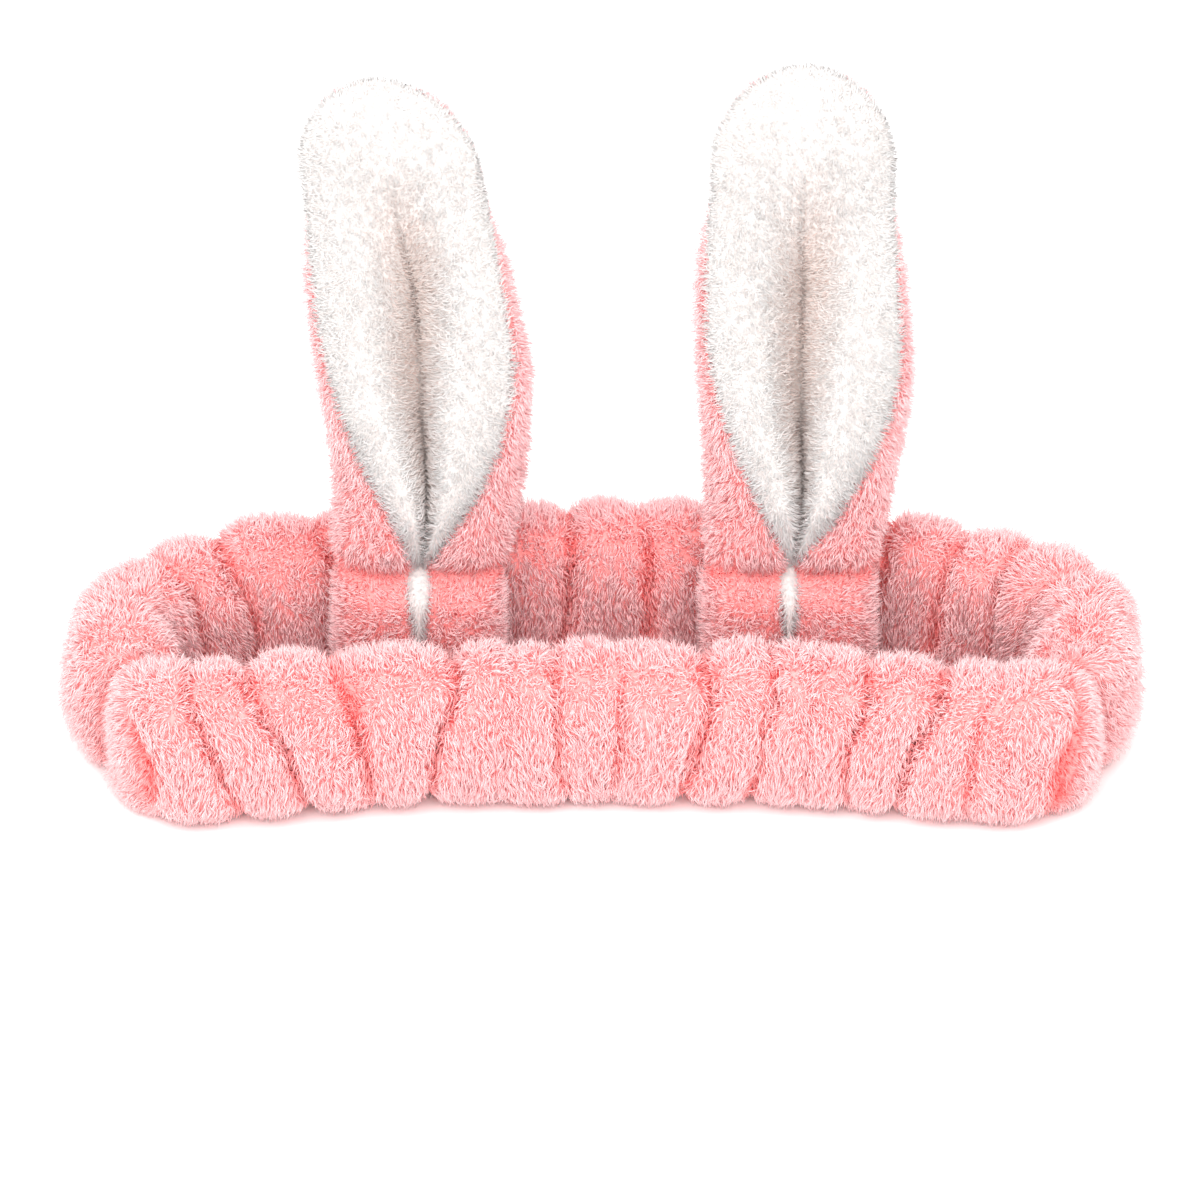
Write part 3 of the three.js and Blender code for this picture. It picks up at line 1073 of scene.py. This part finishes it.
        low = smooth((points[..., 2] - 1 * MM) / (6 * MM))
        reach = (1 - 0.5 * near**1.5) * mix(0.55, 1, low)
        # Painted shade: tufts in the creases, and a little more on the inside of the loop low down,
        # take the pile's deep colours.
        inner = smooth(-cos[None] * 1.6) * smooth(1 - (points[..., 2] - 4 * MM) / (26 * MM))
        open_to_light = (1 - 0.97 * smooth((near - 0.04) / 0.46)) * (1 - 0.05 * inner)
        return Skin(points, normals, 1.0 * MM, comb, reach, 1 - 0.3 * near, open_to_light)

    @staticmethod
    def _crumpled(points: Array) -> Array:
        """Adds the small hollows and humps of soft cloth.

        Args:
            points: The cloth's points, rows by columns by 3.

        Returns:
            The points, moved.
        """
        flat = points.reshape(-1, 3)
        shift = 0.9 * noise_vectors(flat, 17 * MM, 5) + 0.45 * noise_vectors(flat, 7 * MM, 9)
        shift[:, 2] *= smooth((flat[:, 2] - 2 * MM) / (8 * MM))
        return (flat + shift * MM).reshape(points.shape)


class Stretch(Enum):
    """The four stretches of the sleeve, each with the name of its cover."""

    REAR = "rear_sleeve_cover"
    FRONT = "front_sleeve_cover"
    LEFT_END = "left_end_cover"
    RIGHT_END = "right_end_cover"


@dataclass
class GatheredBand:
    """The whole gathered band: cloth and pile, with the rear and front tied to their bodies.

    Attributes:
        loop: Its shape.
        end_share: Share of each half, at either end, that goes to the end stretches.
        fill: How full the padding is. Not used.
    """

    loop: Loop
    end_share: float = 0.2
    fill: float = 0.55

    def _span(self, stretch: Stretch) -> tuple[float, float]:
        """Finds a stretch on the loop.

        Args:
            stretch: The stretch.

        Returns:
            How far round the loop it starts and ends.
        """
        loop, share = self.loop, self.end_share
        if stretch is Stretch.REAR:
            return loop.at(Half.REAR, share), loop.at(Half.REAR, 1 - share)
        if stretch is Stretch.FRONT:
            return loop.at(Half.FRONT, share), loop.at(Half.FRONT, 1 - share)
        if stretch is Stretch.LEFT_END:
            return loop.at(Half.REAR, 1 - share), loop.at(Half.FRONT, share)
        return loop.at(Half.FRONT, 1 - share), loop.length + loop.at(Half.REAR, share)

    def _fasten(self, piece: bpy.types.Object, stretch: Stretch) -> None:
        """Attaches a piece of the rear or front stretch to that half's body, and bakes a piece of an
        end in place.

        Args:
            piece: The piece, whose mesh is final.
            stretch: The stretch.
        """
        if stretch is Stretch.REAR:
            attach(piece, "rear_band")
        elif stretch is Stretch.FRONT:
            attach(piece, "front_band")
        else:
            low, high = self._bending_zone()
            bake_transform(piece)

    def _bending_zone(self) -> tuple[float, float]:
        """Returns the lowest and highest y of the sleeve's faces where the ends meet the halves."""
        loop = self.loop
        faces = []
        for half in (Half.FRONT, Half.REAR):
            point, heading = loop.line_at(np.array([loop.at(half, self.end_share)]))
            faces.append(float(point[0, 1] + heading[0, 0] * loop.thickness / 2))
        return faces[0], faces[1]

    def _seam_row(self, stretch: Stretch, skin: Skin) -> int:
        """Returns the row of an end's skin that lies on its side seam."""
        start, end = self._span(stretch)
        share = self.loop.seams[0 if stretch is Stretch.LEFT_END else 1]
        seam = self.loop.at(Half.FRONT, share)
        return round((seam - start) / (end - start) * (len(skin.outer) - 1))

    def build(self) -> None:
        """Makes and dresses every stretch of the band."""
        knit = PINK_KNIT.make()
        for k, stretch in enumerate(Stretch):
            skin = self.loop.skin(*self._span(stretch))
            cover = skin.mesh(stretch.value, knit)
            self._fasten(cover, stretch)
            if stretch is Stretch.REAR:
                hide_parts("rear_sleeve")
            elif stretch is Stretch.FRONT:
                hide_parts("front_sleeve")
            name = stretch.value.replace("cover", "pile")
            for tufts in Pile(skin, BAND_PILE, PINK_PILE, 100 + 10 * k).pieces(name):
                self._fasten(tufts, stretch)
            if stretch in (Stretch.LEFT_END, Stretch.RIGHT_END):
                side = stretch.name.split("_")[0].lower()
                row = self._seam_row(stretch, skin)
                ring = skin.outer[row, :-1] + 0.2 * MM * skin.normals[row, :-1]
                seam = thread(f"{side}_seam_thread", ring, True)
                self._fasten(seam, stretch)
                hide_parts(f"{side}_side_seam")
            LOG.info("%s: %d points of cloth", stretch.value, skin.outer.size // 3)


# ---- The ears ---------------------------------------------------------------------------------


CLOTH_AT_FOOT = 3.9 * MM
BACK_BELOW_TIP = 2.6 * MM


@dataclass
class Ear:
    """One ear with its root: a leaf of padded cloth, curled forwards from both edges.

    Attributes:
        side: Which ear it is, and the start of its pieces' names.
        sways: How far the middle stands to the side, in millimetres, at shares of the height.
        turn: How far the tip is turned about the upright, in degrees.
        slit: Half the gap between the curled edges at the fold line.
        height: From the fold line to the tip of the cloth.
        foot_depth: Of the curled foot, front to back.
        root_depth: How far the root reaches below the fold line.
        back_half: From the middle of the padding to the cloth of the back.
        swell: How far the lining swells in front of the ear's edges.
        valley: How deep the lining's middle fold is.
        waver: Where the middle fold starts to waver.
        pinch: Share of the foot's depth that the tack stitches leave.
        rise: From the fold line to where the foot is at full depth.
        cap: Share of the height where the round end starts.
        half_widths: Of the flat cloth in millimetres, at shares of the height.
        curls: How far each edge is turned forwards in degrees, at shares of the height.
    """

    side: str
    sways: Stations
    turn: float
    slit: float
    height: float
    foot_depth: float = 17 * MM
    root_depth: float = 33 * MM
    back_half: float = 2.4 * MM
    swell: float = 3.4 * MM
    valley: float = 9 * MM
    waver: float = 2.0
    pinch: float = 0.46
    rise: float = 8 * MM
    cap: float = 0.84
    half_widths: Stations = (
        (0, 33), (0.15, 33), (0.35, 31), (0.57, 26.2), (0.78, 21.6), (0.9, 20.3), (1, 18.6),
    )
    curls: Stations = ((0, 176), (0.15, 138), (0.35, 102), (0.57, 72), (0.78, 52), (0.9, 40), (1, 30))

    def __post_init__(self) -> None:
        """Finds the fold line in the frame."""
        low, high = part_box(f"{self.side}_tack_stitches")
        self.fold = np.array((low + high) / 2)

    def _share(self, heights: Array) -> Array:
        """Returns heights over the fold line as shares of the ear's height."""
        return np.clip(heights / self.height, 0, 1)

    def _round_end(self, share: Array) -> Array:
        """Returns how the round end narrows the ear, from 1 below it to 0 at the tip."""
        return np.sqrt(1 - np.clip((share - self.cap) / (1 - self.cap), 0, 1) ** 2)

    def _squeeze(self, heights: Array) -> Array:
        """Returns the share of its depth that the tack stitches leave the foot."""
        return mix(self.pinch, 1, smooth(np.abs(heights) / self.rise) ** 0.8)

    def _half_width(self, height: Array) -> Array:
        """Returns half the width of the flat cloth at heights over the fold line."""
        share = self._share(height)
        return through(self.half_widths, share) * MM * np.maximum(self._round_end(share), 0.02)

    def _sections(self, heights: Array, steps: int = 96) -> tuple[Array, Array, Array]:
        """Curls the cloth at each height.

        Args:
            heights: Over the fold line, one for each row.
            steps: How finely half a section is summed.

        Returns:
            How far across and how far forwards each step lies, and its heading, each rows by
            steps + 1, from the middle of the back to the edge.
        """
        share = self._share(heights)[:, None]
        half_width = self._half_width(heights)[:, None]
        curl = np.radians(through(self.curls, share))
        flat = 0.24 * half_width * (1 - share / 2)
        turn = mix(0.56 * half_width, half_width - flat, smooth(share * 2))
        t = np.linspace(0, 1, steps + 1)[None]
        heading = curl * smooth((t * half_width - flat) / turn)
        mean = (heading[:, 1:] + heading[:, :-1]) / 2
        step = half_width / steps
        zero = np.zeros((len(heights), 1))
        x = np.concatenate([zero, np.cumsum(step * np.cos(mean), 1)], 1)
        y = np.concatenate([zero, np.cumsum(step * np.sin(mean), 1)], 1)
        return x, y, heading

    def _cloth(self, heights: Array, across: Array, layer: Array) -> Array:
        """Places cloth at a distance from the middle of the padding.

        Args:
            heights: Over the fold line, one for each row.
            across: From -1 at one edge to 1 at the other, rows by columns.
            layer: The distance, rows by columns; towards the back is positive.

        Returns:
            Its points in the frame, rows by columns by 3.
        """
        x, y, heading = self._sections(heights)
        rows = np.arange(len(heights))[:, None]
        reach = np.abs(across) * (x.shape[1] - 1)
        i = np.clip(np.floor(reach).astype(int), 0, x.shape[1] - 2)
        part = reach - i
        head = mix(heading[rows, i], heading[rows, i + 1], part)
        opened = self._opening(heights)[:, None] * smooth((np.abs(across) - 0.55) / 0.45)
        sideways = mix(x[rows, i], x[rows, i + 1], part) + layer * np.sin(head) + opened
        forward = mix(y[rows, i], y[rows, i + 1], part) - layer * np.cos(head)
        return self._placed(heights, np.sign(across) * sideways, forward, y[:, -1:], y[0, -1])

    def _face(self, heights: Array, across: Array, inset: float = 0.0) -> Array:
        """Lays the lining from edge to edge, in one swell near the tip and in two lower down.

        Args:
            heights: Over the fold line, one for each row.
            across: From -1 at one edge to 1 at the other, rows by columns.
            inset: How far behind the lining the points lie.

        Returns:
            Its points in the frame, rows by columns by 3.
        """
        x, y, _ = self._sections(heights)
        reach = np.abs(across)
        rim = np.maximum(x[:, -1:] + self._opening(heights)[:, None], 0.2 * MM)
        front = y[:, -1:]
        tip = self._round_end(self._share(heights))[:, None]
        folded = smooth((114 * MM - heights) / (50 * MM))[:, None]
        one = np.sqrt(np.maximum(1 - reach**2, 0))
        two = np.sqrt(np.maximum(1 - (2 * reach - 1) ** 2, 0))
        swell = self.swell * tip * smooth(rim / (9 * MM)) * mix(one, two, folded)
        width = mix(0.14, 0.42, smooth(heights / (100 * MM)))[:, None]
        from_fold = np.abs(across - self._fold_line(heights, across)) / width
        depth = np.clip(front - 3 * MM, 0, self.valley) * smooth(rim / (6 * MM))
        forward = front + swell - depth * folded * np.exp(-(from_fold**1.6)) - inset
        return self._placed(heights, across * rim, forward, front, y[0, -1])

    def _fold_line(self, heights: Array, across: Array) -> Array:
        """Returns how far to the side the lining's middle fold wavers, in shares of the width."""
        return 0.09 * np.sin(heights / (15 * MM) + self.waver)[:, None] * (1 - across**2)

    def _placed(
        self, heights: Array, sideways: Array, forward: Array, front: Array, foot: float
    ) -> Array:
        """Puts points of a section where they belong on the ear.

        Args:
            heights: Over the fold line, one for each row.
            sideways: From the middle of the section, rows by columns.
            forward: From the back of the section, rows by columns.
            front: How far forwards the edges lie, one for each row.
            foot: How far forwards the edges lie at the foot.

        Returns:
            The points in the frame, rows by columns by 3.
        """
        share = self._share(heights)[:, None]
        depth = mix(self.foot_depth / (foot + 2 * CLOTH_AT_FOOT), 1, smooth(share * 2))
        back = (front / 2 - forward) * depth * self._squeeze(heights)[:, None]
        turn = np.radians(self.turn) * share
        sway = through(self.sways, share) * MM
        points = np.stack(
            [
                sideways * np.cos(turn) - back * np.sin(turn) + sway,
                sideways * np.sin(turn) + back * np.cos(turn),
                np.broadcast_to(heights[:, None], sideways.shape),
            ],
            -1,
        )
        return points + self.fold

    def _opening(self, heights: Array) -> Array:
        """Finds how much wider than when shut the slit between the edges stands.

        Args:
            heights: Over the fold line, one for each row.

        Returns:
            Half of that at each height, below 0 where the edges overlap.
        """
        below = smooth(1 + heights / (21 * MM))
        above = smooth(1 - heights / (30 * MM))
        return np.where(heights < 0, mix(-2.2 * MM, self.slit, below), self.slit * above)

    def _wrap(self, heights: Array) -> Array:
        """Finds how far the lining goes round the edges to the back.

        Args:
            heights: Over the fold line, one for each row.

        Returns:
            An angle at each height: a right angle where the lining goes right round.
        """
        upper = 0.5 * smooth((heights / self.height - 0.58) / 0.22)
        root = 0.12 * smooth(-heights / (4 * MM)) * smooth(1 + heights / (28 * MM))
        over = (math.pi / 2 - 0.5) * smooth((heights - self.height + 3.4 * MM) / (2 * MM))
        return upper + root + over

    def _rim(self, heights: Array, across: Array) -> Array:
        """Returns how the padding thins to nothing at the edges and the tip."""
        tip = np.clip((heights / self.height - 0.93) / 0.07, 0, 1)
        return np.sqrt(np.maximum((1 - np.abs(across) ** 7) * (1 - 0.97 * tip**3), 0))

    def _back(self, heights: Array, across: Array) -> Array:
        """Returns the distance of the back's cloth."""
        full = 0.6 * MM * (1 - across**2)
        return (self.back_half + full) * self._rim(heights, across)

    def _folded(self, heights: Array, across: Array) -> Array:
        """Finds how deep in the middle fold each point lies, which sets the lining's painted shade
        there.

        Args:
            heights: Over the fold line, one for each row.
            across: From -1 at one edge to 1 at the other, rows by columns.

        Returns:
            From 0 outside the fold to 1 at its bottom, rows by columns.
        """
        room = smooth((heights + 5 * MM) / (20 * MM)) * smooth((112 * MM - heights) / (40 * MM))
        width = mix(0.34, 0.6, smooth(heights / (95 * MM)))[:, None]
        from_fold = np.abs(across - self._fold_line(heights, across))
        return room[:, None] * smooth(1 - from_fold / width)

    def skin(self, lining: bool) -> Skin:
        """Builds one side of the ear and its root.

        Args:
            lining: Whether it is the lining and not the back.

        Returns:
            Its skin, with the nap combed up and out to the edges.
        """
        top = self.height - (0 if lining else BACK_BELOW_TIP)
        rise = np.linspace(-self.root_depth, 0.95 * top, 165)
        heights = np.concatenate([rise, top * (1 - 0.05 * np.linspace(1, 0, 22)[1:] ** 2)])
        wrap = self._wrap(heights)[:, None]
        limit = math.pi / 2 + (wrap if lining else -wrap)
        angle = limit * np.linspace(-1, 1, 101)[None]
        across = np.clip(np.sin(angle), -1, 1)
        level = np.broadcast_to(heights[:, None], across.shape)
        layer = self._back(level, across)
        points = self._cloth(heights, across, layer)
        if lining:
            points = np.where(np.cos(angle)[..., None] > 0, self._face(heights, across), points)
        flat = points.reshape(-1, 3)
        wobble = 0.5 * noise_vectors(flat, 15 * MM, 71) + 0.25 * noise_vectors(flat, 6 * MM, 73)
        points = points + (wobble * MM).reshape(points.shape)
        if lining:
            points = points[:, ::-1]
            across = across[:, ::-1]
        normals = grid_normals(points, False)
        outward = np.sign(across)[..., None] * np.array([1.0, 0, 0]) * np.abs(across)[..., None] ** 2
        up = np.array([0, 0, 1.0]) * (1 if lining else -0.6)
        lead = np.where(np.cos(angle) > 0, 0.4, -0.7)[..., None] if lining else -0.8
        comb = 0.7 * up + lead * outward
        comb = comb - normals * np.sum(comb * normals, -1, keepdims=True)
        comb[heights < 0] *= -1
        near_fold = smooth(np.abs(level) / (4.5 * MM))
        rim = smooth((limit - np.abs(angle)) / 0.35) * smooth((1.01 * top - level) / (6 * MM))
        reach = mix(0.5, 1, near_fold)
        even = np.ones_like(reach)
        if not lining:
            reach = reach * mix(0.42, 1, rim)
            # Painted shade: the back's tufts near the fold line take the pile's deep colours.
            return Skin(points, normals, 0.8 * MM, comb, reach, even, mix(0.3, 0.95, near_fold))
        behind = smooth((np.abs(angle) - math.pi / 2) / 0.1)
        hidden = smooth(-level / (6 * MM)) * smooth((1 - np.abs(across)) / 0.15)
        reach = reach * mix(0.75, 1, smooth(np.abs(across) / 0.35)) * (1 - 0.5 * behind)
        # Painted shade: the lining's tufts in its middle fold take the white pile's beige deep
        # colours.
        open_to_light = even - 0.9 * self._folded(heights, across)
        return Skin(points, normals, 0.8 * MM, comb, reach, 1 - 0.75 * hidden, open_to_light)

    def slit_skin(self) -> Skin:
        """Builds the strip of lining that shows in the slit of the root."""
        heights = np.linspace(-27 * MM, 2.5 * MM, 31)
        across = np.linspace(-1, 1, 13)
        front = self.foot_depth / 2 * self._squeeze(heights) - 1.6 * MM
        front = front * (1 - 0.9 * smooth(heights / (3 * MM)))
        taper = mix(0.1, 1, smooth((heights + 22 * MM) / (20 * MM)))
        half = (self._opening(heights) + 3.0 * MM) * taper
        crown = 1.4 * MM * (1 - across**2)
        x = half[:, None] * across[None] + self.sways[0][1] * MM
        y = -front[:, None] - crown[None]
        z = np.broadcast_to(heights[:, None], x.shape)
        points = np.stack([x, y, z], -1) + self.fold
        normals = grid_normals(points[:, ::-1], False)[:, ::-1]
        normals = normals * np.sign(-normals[..., 1:2])
        comb = np.broadcast_to(np.array([0, 0, -0.8]), points.shape)
        even = np.ones(x.shape)
        shorter = mix(0.4, 0.8, smooth(-heights / (5 * MM)))[:, None] * even
        return Skin(points, normals, 0.8 * MM, comb, shorter, even, even)

    def _wadding(self) -> bpy.types.Object:
        """Builds the pad that fills the ear between back and lining.

        Returns:
            The pad, from just over the fold line to just under the tip.
        """
        heights = np.linspace(1.5 * MM, 0.94 * self.height, 70)
        angle = 2 * math.pi * np.linspace(0, 1, 72, endpoint=False)[None]
        across = 0.93 * np.sin(angle + np.zeros((len(heights), 1)))
        level = np.broadcast_to(heights[:, None], across.shape)
        back = self._cloth(heights, across, 0.5 * self._back(level, across))
        front = self._face(heights, across, 1.6 * MM)
        rings = np.where(np.cos(angle)[..., None] > 0, front, back)
        return tube(f"{self.side}_ear_pad", rings, False, SOFT_WADDING.make())

    def _edge(self, skin: Skin) -> Array:
        """Finds the line of the seam round the back.

        Args:
            skin: The back's skin.

        Returns:
            Points up one edge, over the tip and down the other edge, one to a row.
        """
        first = int(0.24 * len(skin.outer))
        up, down = skin.outer[first::3, 0], skin.outer[first::3, -1][::-1]
        return np.concatenate([up, skin.outer[-1, ::12], down])

    def build(self, seed: int) -> None:
        """Makes and dresses the ear's back and lining.

        Args:
            seed: Sets this ear's pile apart from the other's.
        """
        for lining in (False, True):
            skin = self.skin(lining)
            part = "lining" if lining else "back"
            knit = (WHITE_KNIT if lining else PINK_KNIT).make()
            cover = skin.mesh(f"{self.side}_ear_{part}_cover", knit)
            style = LINING_PILE if lining else EAR_PILE
            finish = WHITE_PILE if lining else PINK_PILE
            name = f"{self.side}_ear_{part}_pile"
            tufts = Pile(skin, style, finish, seed + 5 * lining).pieces(name)
            for piece in (cover, *tufts):
                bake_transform(piece)
            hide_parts(f"{self.side}_ear_{part}", f"{self.side}_root_{part}")
            if not lining:
                seam = thread(f"{self.side}_edge_thread", self._edge(skin), False)
                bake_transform(seam)
                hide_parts(f"{self.side}_ear_edge_seam")
            LOG.info("%s ear %s: %d points of cloth", self.side, part, skin.outer.size // 3)
        pad = self._wadding()
        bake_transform(pad)
        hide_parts(f"{self.side}_ear_wadding")
        skin = self.slit_skin()
        strip = skin.mesh(f"{self.side}_slit_cover", WHITE_KNIT.make())
        tufts = Pile(skin, LINING_PILE, WHITE_PILE, seed + 9).pieces(f"{self.side}_slit_pile")
        for piece in (strip, *tufts):
            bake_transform(piece)


# ---- Threads ----------------------------------------------------------------------------------


def thread(name: str, path: Array, closed: bool, radius: float = 0.35 * MM) -> bpy.types.Object:
    """Lays a round thread along a path.

    Args:
        name: The thread's name.
        path: The points that it runs through, one to a row.
        closed: Whether it runs round into itself.
        radius: Of the thread, in metres.

    Returns:
        The object.
    """
    keep = np.concatenate([[True], np.linalg.norm(np.diff(path, axis=0), axis=1) > 0.2 * MM])
    path = path[keep]
    if closed:
        along = unit(np.roll(path, -1, 0) - np.roll(path, 1, 0))
    else:
        along = unit(np.gradient(path, axis=0))
    helper = np.where(np.abs(along[:, 1:2]) > 0.8, [[1.0, 0, 0]], [[0, 1.0, 0]])
    side = unit(np.cross(along, helper))
    other = np.cross(along, side)
    turn = 2 * math.pi * np.arange(8)[None, :, None] / 8
    ring = np.cos(turn) * side[:, None] + np.sin(turn) * other[:, None]
    return tube(name, path[:, None] + radius * ring, closed, PINK_THREAD.make())


# ---- What lies inside -------------------------------------------------------------------------


def dress_inner_pieces() -> None:
    """Gives the elastic, the wadding and the threads their finishes."""
    yarn = PINK_THREAD.make()
    finishes = {"elastic": WHITE_ELASTIC.make(), "wadding": SOFT_WADDING.make()}
    finishes |= {"seam": yarn, "stitches": yarn}
    for name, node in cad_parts.items():
        for word, finish in finishes.items():
            if word in name:
                node.data.materials.clear()
                node.data.materials.append(finish)
                LOG.info("%s: %s", name, finish.name)


# ---- The studio -------------------------------------------------------------------------------


FLOOR_HALF = 6.0
LAMPS_FACE = (0, 0, 0.05)


@dataclass
class Studio:
    """A pale sweep of floor, soft light from above and a long lens.

    Attributes:
        distance: From the camera to what it looks at.
        raised: How far above the level it looks down from, in degrees.
        field: What the picture is wide at that distance.
        target: The point it looks at.
    """

    distance: float = 2.2
    raised: float = 30.0
    field: float = 266 * MM
    target: tuple[float, float, float] = (-0.7 * MM, 0.0, 33.5 * MM)

    def camera(self) -> None:
        """Sets the camera up."""
        data = bpy.data.cameras.new("camera")
        data.lens = data.sensor_width * self.distance / self.field
        data.clip_end = 50
        camera = bpy.data.objects.new("camera", data)
        bpy.context.scene.collection.objects.link(camera)
        up = math.radians(self.raised)
        back = Vector((0, -math.cos(up), math.sin(up))) * self.distance
        camera.location = Vector(self.target) + back
        camera.rotation_euler = (math.pi / 2 - up, 0, 0)
        bpy.context.scene.camera = camera

    def floor(self) -> None:
        """Lays the floor."""
        finish = Material("pale_floor")
        cloud = finish.noise(finish.place(), 3.0)
        colour = finish.blend(cloud, (0.955, 0.955, 0.955, 1), (0.965, 0.965, 0.965, 1))
        finish.set(Base_Color=colour, Roughness=0.9, Specular_IOR_Level=0.1)
        corners = FLOOR_HALF * np.array([[-1, -1, 0], [1, -1, 0], [1, 1, 0], [-1, 1, 0]])
        floor = new_mesh("floor", corners, np.array([[0, 1, 2, 3]]), finish.block)

    def _lamp(self, name: str, place: Sequence[float], size: float, power: float) -> None:
        """Hangs one soft square lamp that faces the headband.

        Args:
            name: The lamp's name.
            place: Where it hangs, in metres.
            size: Of its side, in metres.
            power: In watts.
        """
        data = bpy.data.lights.new(name, "AREA")
        data.size = size
        data.energy = power
        lamp = bpy.data.objects.new(name, data)
        bpy.context.scene.collection.objects.link(lamp)
        lamp.location = place
        toward = Vector(LAMPS_FACE) - Vector(place)
        lamp.rotation_euler = toward.to_track_quat("-Z", "Y").to_euler()

    def lights(self) -> None:
        """Hangs the lamps and sets the sky."""
        world = bpy.data.worlds.new("sky")
        world.use_nodes = True
        sky = world.node_tree.nodes["Background"]
        sky.inputs["Color"].default_value = (1, 0.985, 0.98, 1)
        sky.inputs["Strength"].default_value = 1.4
        bpy.context.scene.world = world
        self._lamp("key", (-0.55, -0.95, 1.1), 0.7, 7)
        self._lamp("fill", (0.2, -1.5, 1.0), 1.0, 13)
        self._lamp("top", (0.1, -0.65, 1.5), 1.0, 4)

    def build(self) -> None:
        """Sets up floor, lamps, camera and how the picture is developed."""
        self.camera()
        self.floor()
        self.lights()
        bpy.context.scene.view_settings.view_transform = "Standard"
        bpy.context.scene.cycles.diffuse_bounces = 10


def main() -> None:
    """Builds the studio, the band and the ears, in that order."""
    logging.basicConfig(level=logging.INFO, format="%(name)s %(message)s")
    Studio().build()
    GatheredBand(Loop()).build()
    left_sways = ((0, 0), (0.16, 2.2), (0.37, 1.9), (0.56, -0.5), (0.77, -3.9), (1, -7))
    right_sways = ((0, 0.4), (0.16, 2.7), (0.37, 3.3), (0.56, 2.5), (1, 2.5))
    Ear("left", left_sways, turn=-7, slit=-0.2 * MM, height=120.5 * MM).build(300)
    Ear("right", right_sways, turn=0, slit=-1.0 * MM, height=123.5 * MM).build(400)
    dress_inner_pieces()


if __name__ == "__main__":
    main()
